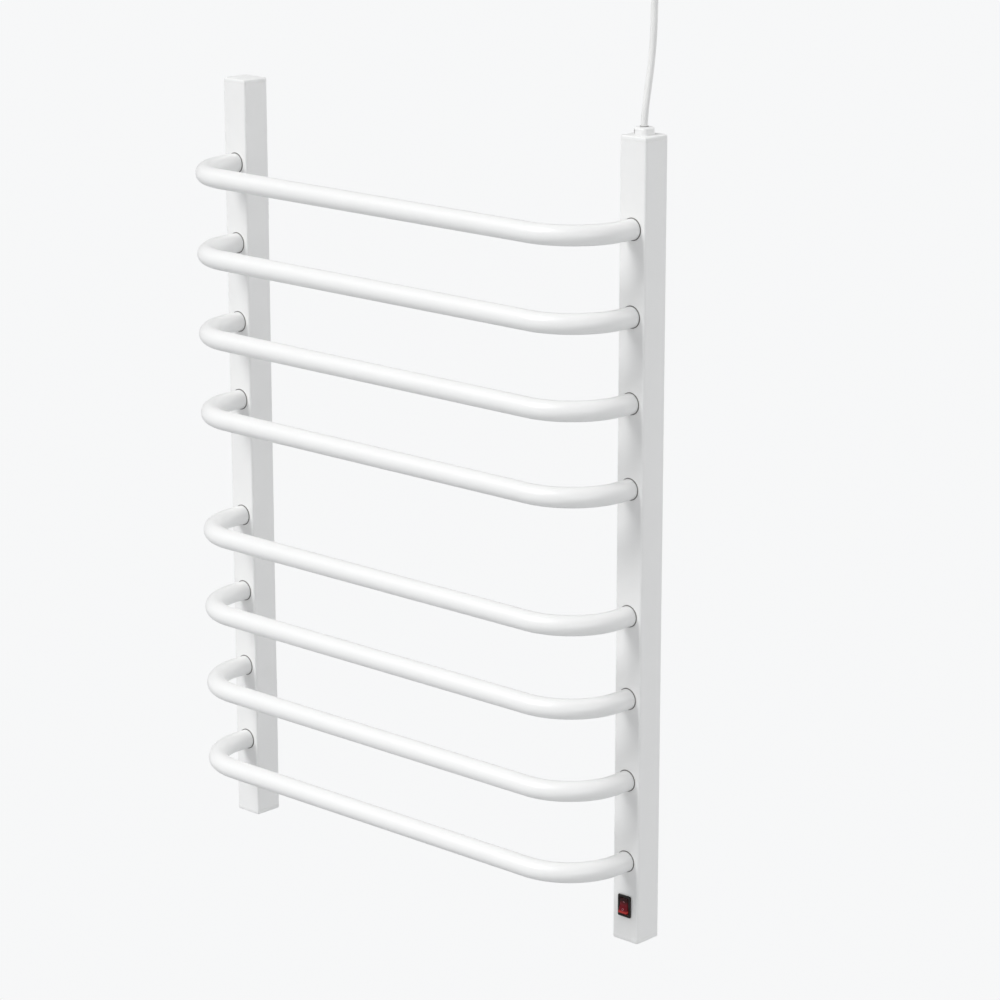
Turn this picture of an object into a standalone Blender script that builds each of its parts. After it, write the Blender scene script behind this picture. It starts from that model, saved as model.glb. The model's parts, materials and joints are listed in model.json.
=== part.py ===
"""Electric towel warmer rack: two square columns on four wall brackets carry eight bent heated bars.

The wall is the plane y = 0 and the rack stands out from it towards -Y.  +Z is up, +X is the viewer's right,
and the origin is the middle of the four brackets on the wall.  Every size is in metres.
"""

import math

import bmesh
import bpy
from mathutils import Matrix, Vector

# Clearance between pieces that touch
GAP = 0.0003

# Columns: square tube
COLUMN_SPACING = 0.507
COLUMN_SIZE = 0.030
COLUMN_WALL = 0.0015
COLUMN_CORNER = 0.002
COLUMN_INNER_CORNER = 0.0005
WALL_GAP = 0.003
TOP_MARGIN = 0.082
BOTTOM_MARGIN = 0.0785

# Column end caps
CAP_FLANGE = 0.004
CAP_RIM = 0.0010
CAP_SPIGOT = 0.012
CAP_WALL = 0.0016

# Heated bars: round tube, two groups with a wider gap between them
BAR_DIAMETER = 0.019
BAR_WALL = 0.0015
BAR_LEG = 0.0145
BAR_BEND = 0.057
BAR_PITCH = 0.0785
GROUP_GAP = 0.1185
BARS_PER_GROUP = 4
BAR_INSIDE = 0.004
BEND_STEPS = 5

# Rubber seals where the bars enter the columns
SEAL_WIDTH = 0.0012
SEAL_PROUD = 0.0006
SEAL_INSIDE = COLUMN_WALL + 0.001
SEAL_SIDES = 12

# Wall brackets and the keyholes that hang on them
BRACKET_WIDTH = 0.022
BRACKET_HEIGHT = 0.044
BRACKET_THICKNESS = 0.0024
BRACKET_CORNER = 0.003
STUD_NECK_RADIUS = 0.0024
STUD_HEAD_RADIUS = 0.0048
STUD_HEAD_THICKNESS = 0.0022
STUD_HEAD_EDGE = 0.0007
KEYHOLE_DROP = 0.011
SCREW_HOLE_RADIUS = 0.0023
SCREW_HEAD_RADIUS = 0.0042
SCREW_HOLE_OFFSET = 0.015

# Heating cable
CABLE_DIAMETER = 0.004
CABLE_TURN = 0.009
CABLE_CLEARANCE = 0.002
TURN_STEPS = 4

# Rocker switch, seen from the front of the right column
SWITCH_DROP = 0.0435
SWITCH_BODY_WIDTH = 0.013
SWITCH_BODY_HEIGHT = 0.019
SWITCH_BODY_WALL = 0.0013
BEZEL_LIP = 0.001
BEZEL_THICKNESS = 0.002
BEZEL_CORNER = 0.001
SWITCH_DEPTH = 0.0165
SWITCH_FLOOR = 0.0015
LUG_PROUD = 0.0009
LUG_WIDTH = 0.005
LUG_LENGTH = 0.003
PIVOT_DEPTH = 0.0018
PIVOT_RADIUS = 0.0012
PIVOT_HOLE_RADIUS = 0.0016
PIVOT_INSET = 0.0008
PIVOT_HOLE_INSET = 0.0005
ROCKER_SIDE_ROOM = 0.0005
ROCKER_END_ROOM = 0.0012
ROCKER_WAIST = 0.0020
ROCKER_SHELL = 0.0012
ROCKER_SKIRT = 0.0015
ROCKER_TILT = math.radians(12.0)
STEM_REACH = 0.0076
STEM_WIDTH = 0.0024
STEM_HEIGHT = 0.0030
STEM_CORNER = 0.0006
CONTACT_DEPTH = 0.0099
CONTACT_LENGTH = 0.012
CONTACT_WIDTH = 0.004
CONTACT_THICKNESS = 0.0006
CONTACT_TILT = math.radians(8.0)
TERMINAL_SPACING = 0.0055
TERMINAL_WIDTH = 0.0048
TERMINAL_THICKNESS = 0.0008
TERMINAL_END_CLEARANCE = 0.004
LAMP_RADIUS = 0.0013
LAMP_LENGTH = 0.007
LAMP_DEPTH = 0.007
LAMP_DROP = 0.005

# Wiring inside the right column
WIRE_DIAMETER = 0.0022
WIRE_INSET = 0.0029
WIRE_PITCH = 0.003
BLOCK_SIDE_ROOM = 0.0027
BLOCK_FRONT = 0.024
BLOCK_BACK = 0.0075
BLOCK_HEIGHT = 0.016
BLOCK_CORNER = 0.001
BLOCK_ABOVE_BAR = 0.0235
# Wires bend at these shares of their way: how far down (or up), then how far across
WIRE_EASE = 0.3
HEATER_WIRE_BENDS = ((0.35, 0.8), (0.6, 1.0), (0.9, 0.8))
HEATER_WIRE_START = 0.08
EARTH_WIRE_BENDS = ((0.25, 0.1), (0.7, 0.8))
FUSE_RADIUS = 0.0023
FUSE_LENGTH = 0.011
EARTH_OFFSET = 0.005
EARTH_RISE = 0.0125
EARTH_LUG = (0.009, 0.0008, 0.012)
EARTH_HOLE_RADIUS = 0.0023
EARTH_SHANK_RADIUS = 0.0019
EARTH_HEAD_RADIUS = 0.0032
EARTH_HEAD_THICKNESS = 0.0022
EARTH_HEAD_DOME = 0.0006
EARTH_TIP = 0.001

# Mains lead, its gland and its plug
CORD_DIAMETER = 0.0062
GLAND_SIDE = 0.016
GLAND_HEIGHT = 0.0065
GLAND_CORNER = 0.004
GLAND_RIM = 0.0016
GLAND_STEM_RADIUS = 0.0047
GLAND_TIP_RADIUS = 0.0036
GLAND_REACH = 0.027
GLAND_SIDES = 16
COIL_MEAN_RADIUS = 0.0365
COIL_BUNDLE = 0.0063
COIL_MARGIN = 0.0001
COIL_ENTRY = math.radians(45.0)
COIL_EXIT = math.radians(15.0)
COIL_RISE = 0.2165
COIL_SIDES = 32
COIL_SECTION_SIDES = 8
TIE_THICKNESS = 0.0009
TIE_CLEARANCE = 0.0004
TIE_WIDTH = 0.004
TIE_ANGLE = math.radians(45.0)
PLUG_BODY = 0.028
PLUG_THICKNESS = 0.0137
PLUG_FACE_WIDTH = 0.0353
PLUG_NECK_WIDTH = 0.018
PLUG_SHOULDER = 0.0154
PLUG_SLEEVE = 0.020
PLUG_SLEEVE_ROOT = 0.0056
PLUG_SLEEVE_RADIUS = 0.0052
PLUG_SLEEVE_TIP = 0.0036
PIN_RADIUS = 0.002
PIN_LENGTH = 0.019
PIN_SPACING = 0.0186
PIN_ROOT = 0.003
PIN_TIP_RADIUS = 0.001
PIN_TIP_LENGTH = 0.0014
HOOK_PLATE = (0.018, 0.0025, 0.0405)
HOOK_PLATE_CORNER = 0.003
HOOK_ARM_WIDTH = 0.010
HOOK_ARM_HEIGHT = 0.0044
HOOK_ARM_RISE = 0.0015
HOOK_LIP = 0.003
HOOK_LIP_RISE = 0.008
HOOK_FRONT_ROOM = 0.0028

# The lead's free run above the gland: at each height, how far back towards the wall it has leant
CORD_ROUTE = (
    (0.000, 0.0000),
    (0.010, 0.0007),
    (0.020, 0.0022),
    (0.030, 0.0041),
    (0.040, 0.0060),
    (0.050, 0.0078),
    (0.060, 0.0093),
    (0.070, 0.0105),
    (0.080, 0.0113),
    (0.090, 0.0118),
    (0.100, 0.0121),
    (0.110, 0.0122),
    (0.120, 0.0122),
    (0.130, 0.0121),
    (0.140, 0.0120),
    (0.150, 0.0119),
    (0.160, 0.0118),
    (0.170, 0.0117),
    (0.180, 0.0116),
)

# --------------------------------------------------------------------------- places worked out from the sizes

BAR_RADIUS = BAR_DIAMETER / 2
CORD_RADIUS = CORD_DIAMETER / 2
WIRE_RADIUS = WIRE_DIAMETER / 2
CABLE_RADIUS = CABLE_DIAMETER / 2

COLUMN_X = COLUMN_SPACING / 2
COLUMN_BACK = -WALL_GAP
COLUMN_FRONT = COLUMN_BACK - COLUMN_SIZE
COLUMN_MID = (COLUMN_BACK + COLUMN_FRONT) / 2
INNER_BACK = COLUMN_BACK - COLUMN_WALL
INNER_FRONT = COLUMN_FRONT + COLUMN_WALL
INNER_HALF = COLUMN_SIZE / 2 - COLUMN_WALL

GROUP_HEIGHT = (BARS_PER_GROUP - 1) * BAR_PITCH
BAR_TOP = GROUP_HEIGHT + GROUP_GAP / 2
BAR_HEIGHTS = [BAR_TOP - k * BAR_PITCH for k in range(BARS_PER_GROUP)]
BAR_HEIGHTS += [-GROUP_GAP / 2 - k * BAR_PITCH for k in range(BARS_PER_GROUP)]
BAR_END = INNER_FRONT + BAR_INSIDE
BAR_FRONT = COLUMN_FRONT - BAR_LEG - BAR_BEND

RACK_TOP = BAR_TOP + TOP_MARGIN
RACK_BOTTOM = -BAR_TOP - BOTTOM_MARGIN
TUBE_TOP = RACK_TOP - CAP_FLANGE - GAP
TUBE_BOTTOM = RACK_BOTTOM + CAP_FLANGE + GAP

POLYGON = math.cos(math.pi / SEAL_SIDES)
SEAL_BORE_RADIUS = (BAR_RADIUS + GAP) / POLYGON
SEAL_RADIUS = SEAL_BORE_RADIUS + SEAL_WIDTH
SEAL_HOLE_RADIUS = (SEAL_RADIUS + GAP) / POLYGON

BRACKET_HEIGHTS = (BAR_TOP - BAR_PITCH / 2, -BAR_TOP + BAR_PITCH / 2)
CABLE_FAR = INNER_BACK - GAP - STUD_HEAD_THICKNESS - CABLE_CLEARANCE - CABLE_RADIUS

SWITCH_HEIGHT = -BAR_TOP - SWITCH_DROP
SWITCH_FACE = COLUMN_FRONT - BEZEL_THICKNESS
WINDOW_WIDTH = SWITCH_BODY_WIDTH - 2 * SWITCH_BODY_WALL
WINDOW_HEIGHT = SWITCH_BODY_HEIGHT - 2 * SWITCH_BODY_WALL
ROCKER_WIDTH = WINDOW_WIDTH - 2 * ROCKER_SIDE_ROOM
ROCKER_HALF = WINDOW_HEIGHT / 2 - ROCKER_END_ROOM
TERMINAL_END = INNER_BACK - TERMINAL_END_CLEARANCE
WIRE_BACK = TERMINAL_END - WIRE_RADIUS - GAP

BLOCK_BOTTOM = BAR_TOP + BLOCK_ABOVE_BAR
BLOCK_TOP = BLOCK_BOTTOM + BLOCK_HEIGHT
WIRE_OUTER = INNER_HALF - WIRE_INSET
WIRE_INNER = WIRE_OUTER - WIRE_PITCH
EARTH_HEIGHT = BLOCK_TOP + EARTH_RISE

CORD_EXIT = Vector((COLUMN_X, COLUMN_MID, RACK_TOP + GAP + GLAND_HEIGHT))
COIL_HALF = COIL_BUNDLE + CORD_RADIUS + COIL_MARGIN
COIL_INNER = COIL_MEAN_RADIUS - COIL_HALF
COIL_OUTER = COIL_MEAN_RADIUS + COIL_HALF
COIL_X = COLUMN_X - COIL_MEAN_RADIUS - COIL_BUNDLE * math.cos(COIL_ENTRY)
COIL_Y = -(GAP + TIE_THICKNESS + TIE_CLEARANCE + COIL_HALF)
COIL_Z = CORD_EXIT.z + COIL_RISE
PLUG_X = COIL_X - COIL_MEAN_RADIUS - COIL_BUNDLE * math.cos(COIL_EXIT)
PLUG_Y = COIL_Y + COIL_BUNDLE * math.sin(COIL_EXIT)

# --------------------------------------------------------------------------- materials


def material(name, colour, roughness, metallic=0.0):
    made = bpy.data.materials.new(name)
    made.use_nodes = True
    shader = made.node_tree.nodes["Principled BSDF"]
    shader.inputs["Base Color"].default_value = (*colour, 1.0)
    shader.inputs["Roughness"].default_value = roughness
    shader.inputs["Metallic"].default_value = metallic
    made.diffuse_color = (*colour, 1.0)
    return made


# --------------------------------------------------------------------------- meshes


def finished_mesh(name, bm):
    """Closes seams, points the faces outwards and shades round stretches smooth."""
    bmesh.ops.remove_doubles(bm, verts=bm.verts, dist=1e-7)
    bmesh.ops.recalc_face_normals(bm, faces=bm.faces)
    mesh = bpy.data.meshes.new(name)
    bm.to_mesh(mesh)
    bm.free()
    mesh.shade_smooth()
    mesh.set_sharp_from_angle(angle=math.radians(35.0))
    return mesh


def block_mesh(name, size, centre=(0.0, 0.0, 0.0), corner=0.0, along=2, rim=0.0, segments=2):
    """A box; corner rounds the four edges along one axis, rim the edges of its far end."""
    bm = bmesh.new()
    bmesh.ops.create_cube(bm, size=1.0)
    bmesh.ops.scale(bm, vec=size, verts=bm.verts)
    if corner:
        upright = [e for e in bm.edges if abs((e.verts[0].co - e.verts[1].co)[along]) > size[along] / 2]
        bmesh.ops.bevel(bm, geom=upright, offset=corner, segments=segments, profile=0.5, affect="EDGES")
    if rim:
        top = size[along] / 2 - 1e-6
        far = [e for e in bm.edges if all(v.co[along] > top for v in e.verts)]
        bmesh.ops.bevel(bm, geom=far, offset=rim, segments=segments, profile=0.5, affect="EDGES")
    bmesh.ops.translate(bm, vec=centre, verts=bm.verts)
    return finished_mesh(name, bm)


def turned_mesh(name, profile, sides, ring=False):
    """Turns (radius, height) points about Z: a ring's profile closes on itself, others end on the axis."""
    bm = bmesh.new()
    points = [bm.verts.new((radius, 0.0, height)) for radius, height in profile]
    nexts = points[1:] + points[:1] if ring else points[1:]
    edges = [bm.edges.new(pair) for pair in zip(points, nexts)]
    turn = 2 * math.pi
    bmesh.ops.spin(bm, geom=points + edges, axis=(0, 0, 1), angle=turn, steps=sides, use_merge=True)
    return finished_mesh(name, bm)


def rod_mesh(name, radius, low, high, sides=12):
    return turned_mesh(name, [(0.0, low), (radius, low), (radius, high), (0.0, high)], sides)


def prism_mesh(name, outline, low, high, along):
    """Extrudes an outline of the two other axes, in X, Y, Z order, from low to high along one axis."""
    bm = bmesh.new()
    corners = []
    for a, b in outline:
        place = [a, b]
        place.insert(along, low)
        corners.append(bm.verts.new(place))
    face = bm.faces.new(corners)
    grown = bmesh.ops.extrude_face_region(bm, geom=[face])["geom"]
    shift = Vector((0.0, 0.0, 0.0))
    shift[along] = high - low
    bmesh.ops.translate(bm, vec=shift, verts=[g for g in grown if isinstance(g, bmesh.types.BMVert)])
    return finished_mesh(name, bm)


def gathered_mesh(name, parts):
    """Puts several meshes, each with its own placing, into one."""
    bm = bmesh.new()
    for mesh, placing in parts:
        before = len(bm.verts)
        bm.from_mesh(mesh)
        bm.verts.ensure_lookup_table()
        bmesh.ops.transform(bm, matrix=placing, verts=bm.verts[before:])
    return finished_mesh(name, bm)


def arc(centre, radius, start, end, steps):
    """Points on a circle from start to end, in radians from the first axis towards the second."""
    angles = [start + (end - start) * k / steps for k in range(steps + 1)]
    return [(centre[0] + radius * math.cos(a), centre[1] + radius * math.sin(a)) for a in angles]


def moved(x, y, z):
    return Matrix.Translation((x, y, z))


FACING_FRONT = Matrix.Rotation(math.pi / 2, 4, "X")
FACING_SIDE = Matrix.Rotation(math.pi / 2, 4, "Y")

# --------------------------------------------------------------------------- objects


def place(name, data, finish, location=(0.0, 0.0, 0.0), rotation=(0.0, 0.0, 0.0)):
    made = bpy.data.objects.new(name, data)
    made.location = location
    made.rotation_euler = rotation
    if not data.materials:
        data.materials.append(finish)
    bpy.context.scene.collection.objects.link(made)
    return made


def combine(target, mesh, operation, location=None):
    """Cuts a mesh out of an object, or joins it on, with a live Boolean."""
    tool = bpy.data.objects.new(f"{target.name}_{operation.lower()}", mesh)
    tool.location = target.location if location is None else location
    tool.rotation_euler = target.rotation_euler
    tool.hide_render = True
    tool.display_type = "WIRE"
    bpy.context.scene.collection.objects.link(tool)
    step = target.modifiers.new(operation.title(), "BOOLEAN")
    step.operation = operation
    step.object = tool
    step.solver = "EXACT"


def tube(name, points, radius, finish, location=(0.0, 0.0, 0.0), resolution=2, wall=0.0):
    """A round tube or rod along a line of points; with a wall it is hollow and open at its ends."""
    curve = bpy.data.curves.new(name, "CURVE")
    curve.dimensions = "3D"
    curve.bevel_depth = radius
    curve.bevel_resolution = resolution
    curve.render_resolution_u = 0
    curve.use_fill_caps = wall == 0.0
    line = curve.splines.new("POLY")
    line.points.add(len(points) - 1)
    for point, co in zip(line.points, points):
        point.co = (*co, 1.0)
    line.use_smooth = True
    made = place(name, curve, finish, location)
    if wall:
        shell = made.modifiers.new("Wall", "SOLIDIFY")
        shell.thickness = wall
        shell.offset = -1.0
        shell.use_even_offset = True
    return made


# --------------------------------------------------------------------------- columns, caps and brackets


def keyhole_outline(height):
    """Round entry below, slot above; the stud's neck rests in the slot's round top."""
    slot = STUD_NECK_RADIUS + GAP
    entry = STUD_HEAD_RADIUS + 2 * GAP
    meet = math.acos(slot / entry)
    top = arc((0.0, height), slot, 0.0, math.pi, 6)
    low = arc((0.0, height - KEYHOLE_DROP), entry, math.pi - meet, 2 * math.pi + meet, 10)
    return top + low


def seal_holes():
    cutter = rod_mesh("seal_hole", SEAL_HOLE_RADIUS, -SEAL_INSIDE - GAP, COLUMN_WALL, SEAL_SIDES)
    return [(cutter, moved(0.0, COLUMN_FRONT - COLUMN_MID, z) @ FACING_FRONT) for z in BAR_HEIGHTS]


def keyholes():
    y = COLUMN_BACK - COLUMN_MID
    holes = []
    for height in BRACKET_HEIGHTS:
        hole = prism_mesh("keyhole", keyhole_outline(height), y - 2 * COLUMN_WALL, y + COLUMN_WALL, 1)
        holes.append((hole, Matrix()))
    return holes


def switch_opening():
    size = (SWITCH_BODY_WIDTH + 2 * GAP, 3 * COLUMN_WALL, SWITCH_BODY_HEIGHT + 2 * GAP)
    y = COLUMN_FRONT + COLUMN_WALL / 2 - COLUMN_MID
    return block_mesh("switch_opening", size), moved(0.0, y, SWITCH_HEIGHT)


def earth_hole():
    cutter = rod_mesh("earth_hole", EARTH_HOLE_RADIUS, -COLUMN_WALL, COLUMN_WALL)
    y = COLUMN_BACK - COLUMN_WALL / 2 - COLUMN_MID
    return cutter, moved(-EARTH_OFFSET, y, EARTH_HEIGHT) @ FACING_FRONT


def make_columns(paint):
    height = TUBE_TOP - TUBE_BOTTOM
    middle = (0.0, 0.0, (TUBE_TOP + TUBE_BOTTOM) / 2)
    tube_size = (COLUMN_SIZE, COLUMN_SIZE, height)
    bore_size = (2 * INNER_HALF, 2 * INNER_HALF, height + COLUMN_SIZE)
    for side, name in ((-1, "column_left"), (1, "column_right")):
        shape = block_mesh(name, tube_size, middle, corner=COLUMN_CORNER)
        column = place(name, shape, paint, (side * COLUMN_X, COLUMN_MID, 0.0))
        bore = block_mesh("bore", bore_size, middle, corner=COLUMN_INNER_CORNER, segments=1)
        combine(column, bore, "DIFFERENCE")
        holes = seal_holes() + keyholes()
        if side > 0:
            holes += [switch_opening(), earth_hole()]
        combine(column, gathered_mesh(f"{name}_holes", holes), "DIFFERENCE")


def cap_mesh():
    """The solid of a cap, its flange's outer face up at height 0."""
    flange = (COLUMN_SIZE, COLUMN_SIZE, CAP_FLANGE)
    return block_mesh("cap", flange, (0.0, 0.0, -CAP_FLANGE / 2), corner=COLUMN_CORNER, rim=CAP_RIM)


def make_caps(plastic):
    """Push-in caps; the right one on top has the hole for the lead's gland."""
    half = INNER_HALF - GAP
    spigot = block_mesh(
        "spigot",
        (2 * half, 2 * half, CAP_SPIGOT + CAP_FLANGE / 2),
        (0.0, 0.0, -CAP_FLANGE / 2 - (CAP_SPIGOT + CAP_FLANGE / 2) / 2),
        corner=COLUMN_INNER_CORNER,
        segments=1,
    )
    inner = half - CAP_WALL
    pocket = block_mesh(
        "pocket", (2 * inner, 2 * inner, 2 * CAP_SPIGOT), (0.0, 0.0, -CAP_FLANGE - CAP_SPIGOT)
    )
    places = (
        ("cap_top_left", -1, RACK_TOP, 0.0),
        ("cap_top_right", 1, RACK_TOP, 0.0),
        ("cap_bottom_left", -1, RACK_BOTTOM, math.pi),
        ("cap_bottom_right", 1, RACK_BOTTOM, math.pi),
    )
    for name, side, height, turn in places:
        cap = place(name, cap_mesh(), plastic, (side * COLUMN_X, COLUMN_MID, height), (turn, 0.0, 0.0))
        combine(cap, spigot, "UNION")
        combine(cap, pocket, "DIFFERENCE")
        if name == "cap_top_right":
            radius = (GLAND_STEM_RADIUS + GAP) / math.cos(math.pi / GLAND_SIDES)
            hole = rod_mesh("gland_hole", radius, -2 * CAP_FLANGE, CAP_FLANGE, GLAND_SIDES)
            combine(cap, hole, "DIFFERENCE")


def make_brackets(steel):
    """A plate on the wall with a headed stud, and two countersunk screw holes."""
    plate = block_mesh(
        "bracket",
        (BRACKET_WIDTH, BRACKET_THICKNESS, BRACKET_HEIGHT),
        (0.0, -BRACKET_THICKNESS / 2, 0.0),
        corner=BRACKET_CORNER,
        along=1,
    )
    head = -INNER_BACK + GAP
    stud = turned_mesh(
        "stud",
        [
            (0.0, BRACKET_THICKNESS / 2),
            (STUD_NECK_RADIUS, BRACKET_THICKNESS / 2),
            (STUD_NECK_RADIUS, head),
            (STUD_HEAD_RADIUS, head),
            (STUD_HEAD_RADIUS, head + STUD_HEAD_THICKNESS - STUD_HEAD_EDGE),
            (STUD_HEAD_RADIUS - STUD_HEAD_EDGE, head + STUD_HEAD_THICKNESS),
            (0.0, head + STUD_HEAD_THICKNESS),
        ],
        12,
    )
    stud.transform(FACING_FRONT)
    sink = SCREW_HEAD_RADIUS - SCREW_HOLE_RADIUS
    screw = turned_mesh(
        "screw_hole",
        [
            (0.0, -BRACKET_THICKNESS),
            (SCREW_HOLE_RADIUS, -BRACKET_THICKNESS),
            (SCREW_HOLE_RADIUS, BRACKET_THICKNESS - sink),
            (SCREW_HEAD_RADIUS + sink, BRACKET_THICKNESS + sink),
            (0.0, BRACKET_THICKNESS + sink),
        ],
        12,
    )
    spots = (SCREW_HOLE_OFFSET, -SCREW_HOLE_OFFSET)
    screws = gathered_mesh("screw_holes", [(screw, moved(0.0, 0.0, z) @ FACING_FRONT) for z in spots])
    for level, height in zip(("upper", "lower"), BRACKET_HEIGHTS):
        for side, hand in ((-1, "left"), (1, "right")):
            bracket = place(
                f"wall_bracket_{level}_{hand}", plate.copy(), steel, (side * COLUMN_X, 0.0, height)
            )
            combine(bracket, stud, "UNION")
            combine(bracket, screws, "DIFFERENCE")


# --------------------------------------------------------------------------- bars, seals and heating cable


def bar_line():
    """A bar's centre line at height 0, from its right end to its left end: leg, bend, run, bend, leg."""
    centre = (COLUMN_X - BAR_BEND, COLUMN_FRONT - BAR_LEG)
    bend = arc(centre, BAR_BEND, 0.0, -math.pi / 2, BEND_STEPS)
    right = [(COLUMN_X, BAR_END), *bend]
    left = [(-x, y) for x, y in reversed(right)]
    return right + left


def make_bars(paint):
    line = [(x, y, 0.0) for x, y in bar_line()]
    for k, height in enumerate(BAR_HEIGHTS):
        tube(f"bar_{k + 1}", line, BAR_RADIUS, paint, (0.0, 0.0, height), resolution=4, wall=BAR_WALL)


def make_seals(rubber):
    profile = [
        (SEAL_BORE_RADIUS, -SEAL_INSIDE),
        (SEAL_RADIUS, -SEAL_INSIDE),
        (SEAL_RADIUS, SEAL_PROUD),
        (SEAL_BORE_RADIUS, SEAL_PROUD),
    ]
    ring = turned_mesh("seal", profile, SEAL_SIDES, ring=True)
    for side, hand in ((-1, "left"), (1, "right")):
        for k, height in enumerate(BAR_HEIGHTS):
            spot = (side * COLUMN_X, COLUMN_FRONT, height)
            place(f"bar_seal_{hand}_{k + 1}", ring, rubber, spot, (math.pi / 2, 0.0, 0.0))


def cable_turn(x, start, end):
    """The cable's half turn inside a column, from the bar at one height down to the next."""
    near = CABLE_FAR - CABLE_TURN
    first = arc((near, start - CABLE_TURN), CABLE_TURN, math.pi / 2, 0.0, TURN_STEPS)
    second = arc((near, end + CABLE_TURN), CABLE_TURN, 0.0, -math.pi / 2, TURN_STEPS)
    return [(x, y, z) for y, z in first + second]


def make_heating_cable(silicone):
    """One cable threaded through every bar in turn, from the terminal block to the thermal fuse."""
    near = CABLE_FAR - CABLE_TURN
    enter = arc((near, BAR_TOP + CABLE_TURN), CABLE_TURN, 0.0, -math.pi / 2, TURN_STEPS)
    line = [(COLUMN_X, CABLE_FAR, BLOCK_BOTTOM - GAP)] + [(COLUMN_X, y, z) for y, z in enter]
    across = bar_line()
    for k, height in enumerate(BAR_HEIGHTS):
        flat = across if k % 2 == 0 else across[::-1]
        line += [(x, y, height) for x, y in flat]
        if k + 1 < len(BAR_HEIGHTS):
            line += cable_turn(flat[-1][0], height, BAR_HEIGHTS[k + 1])
    leave = arc((near, -BAR_TOP - CABLE_TURN), CABLE_TURN, math.pi / 2, 0.0, TURN_STEPS)
    line += [(COLUMN_X, y, z) for y, z in leave]
    line.append((COLUMN_X, CABLE_FAR, fuse_top() + GAP))
    tube("heating_cable", line, CABLE_RADIUS, silicone, resolution=1)


# --------------------------------------------------------------------------- rocker switch


def make_switch_housing(plastic):
    """Bezel and box in one; depth 0 is the bezel's face and grows into the column."""
    spot = (COLUMN_X, SWITCH_FACE, SWITCH_HEIGHT)
    bezel_size = (
        SWITCH_BODY_WIDTH + 2 * BEZEL_LIP,
        BEZEL_THICKNESS - GAP,
        SWITCH_BODY_HEIGHT + 2 * BEZEL_LIP,
    )
    bezel_centre = (0.0, (BEZEL_THICKNESS - GAP) / 2, 0.0)
    bezel = block_mesh("bezel", bezel_size, bezel_centre, corner=BEZEL_CORNER, along=1)
    housing = place("switch_housing", bezel, plastic, spot)
    body_depth = SWITCH_DEPTH - BEZEL_THICKNESS / 2
    body = block_mesh(
        "body",
        (SWITCH_BODY_WIDTH, body_depth, SWITCH_BODY_HEIGHT),
        (0.0, SWITCH_DEPTH - body_depth / 2, 0.0),
    )
    combine(housing, body, "UNION")
    lug_start = BEZEL_THICKNESS + COLUMN_WALL + GAP
    lug_height = SWITCH_BODY_HEIGHT + 2 * LUG_PROUD
    lugs = block_mesh("lugs", (LUG_WIDTH, LUG_LENGTH, lug_height), (0.0, lug_start + LUG_LENGTH / 2, 0.0))
    combine(housing, lugs, "UNION")
    floor = SWITCH_DEPTH - SWITCH_FLOOR
    window = block_mesh("window", (WINDOW_WIDTH, 2 * floor, WINDOW_HEIGHT))
    combine(housing, window, "DIFFERENCE")
    slot = block_mesh(
        "slot",
        (TERMINAL_WIDTH + 2 * GAP, 4 * SWITCH_FLOOR, TERMINAL_THICKNESS + 2 * GAP),
        (0.0, SWITCH_DEPTH, 0.0),
    )
    rows = (-TERMINAL_SPACING, 0.0, TERMINAL_SPACING)
    combine(housing, gathered_mesh("slots", [(slot, moved(0.0, 0.0, z)) for z in rows]), "DIFFERENCE")
    reach = SWITCH_BODY_WIDTH / 2 - PIVOT_HOLE_INSET
    pivot = rod_mesh("pivot_hole", PIVOT_HOLE_RADIUS, -reach, reach)
    pivot.transform(moved(0.0, PIVOT_DEPTH, 0.0) @ FACING_SIDE)
    combine(housing, pivot, "DIFFERENCE")


def rocker_outline():
    """Y, Z outline about the pivot: a shallow V in front, ends round about the pivot, flat skirt behind."""
    corner = ROCKER_WAIST + ROCKER_HALF * math.tan(ROCKER_TILT)
    reach = math.hypot(ROCKER_HALF, corner)
    lean = math.atan2(corner, ROCKER_HALF)
    skirt = math.asin(ROCKER_SKIRT / reach)
    upper = arc((0.0, 0.0), reach, lean, -skirt, 3)
    lower = arc((0.0, 0.0), reach, math.pi + skirt, math.pi - lean, 3)
    return [(-out, z) for z, out in upper + lower] + [(-ROCKER_WAIST, 0.0)]


def make_switch_rocker(plastic):
    """The red rocker with its shaft and the stem that works the contact; at rest its top is pressed in."""
    spot = (COLUMN_X, SWITCH_FACE + PIVOT_DEPTH, SWITCH_HEIGHT)
    half = ROCKER_WIDTH / 2
    shell = prism_mesh("rocker", rocker_outline(), -half, half, 0)
    rocker = place("switch_rocker", shell, plastic, spot, (-ROCKER_TILT, 0.0, 0.0))
    inside = ROCKER_HALF - ROCKER_SHELL / 2
    roof = ROCKER_WAIST - ROCKER_SHELL
    eaves = roof + inside * math.tan(ROCKER_TILT)
    hollow = [
        (2 * ROCKER_SKIRT, -inside),
        (-eaves, -inside),
        (-roof, 0.0),
        (-eaves, inside),
        (2 * ROCKER_SKIRT, inside),
    ]
    inner = half - ROCKER_SHELL
    combine(rocker, prism_mesh("hollow", hollow, -inner, inner, 0), "DIFFERENCE")
    stem_root = ROCKER_WAIST - ROCKER_SHELL / 2
    stem = block_mesh(
        "stem",
        (STEM_WIDTH, STEM_REACH + stem_root, STEM_HEIGHT),
        (0.0, (STEM_REACH - stem_root) / 2, 0.0),
        corner=STEM_CORNER,
        along=0,
    )
    combine(rocker, stem, "UNION")
    reach = SWITCH_BODY_WIDTH / 2 - PIVOT_INSET
    shaft = rod_mesh("shaft", PIVOT_RADIUS, -reach, reach)
    shaft.transform(FACING_SIDE)
    combine(rocker, shaft, "UNION")


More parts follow.
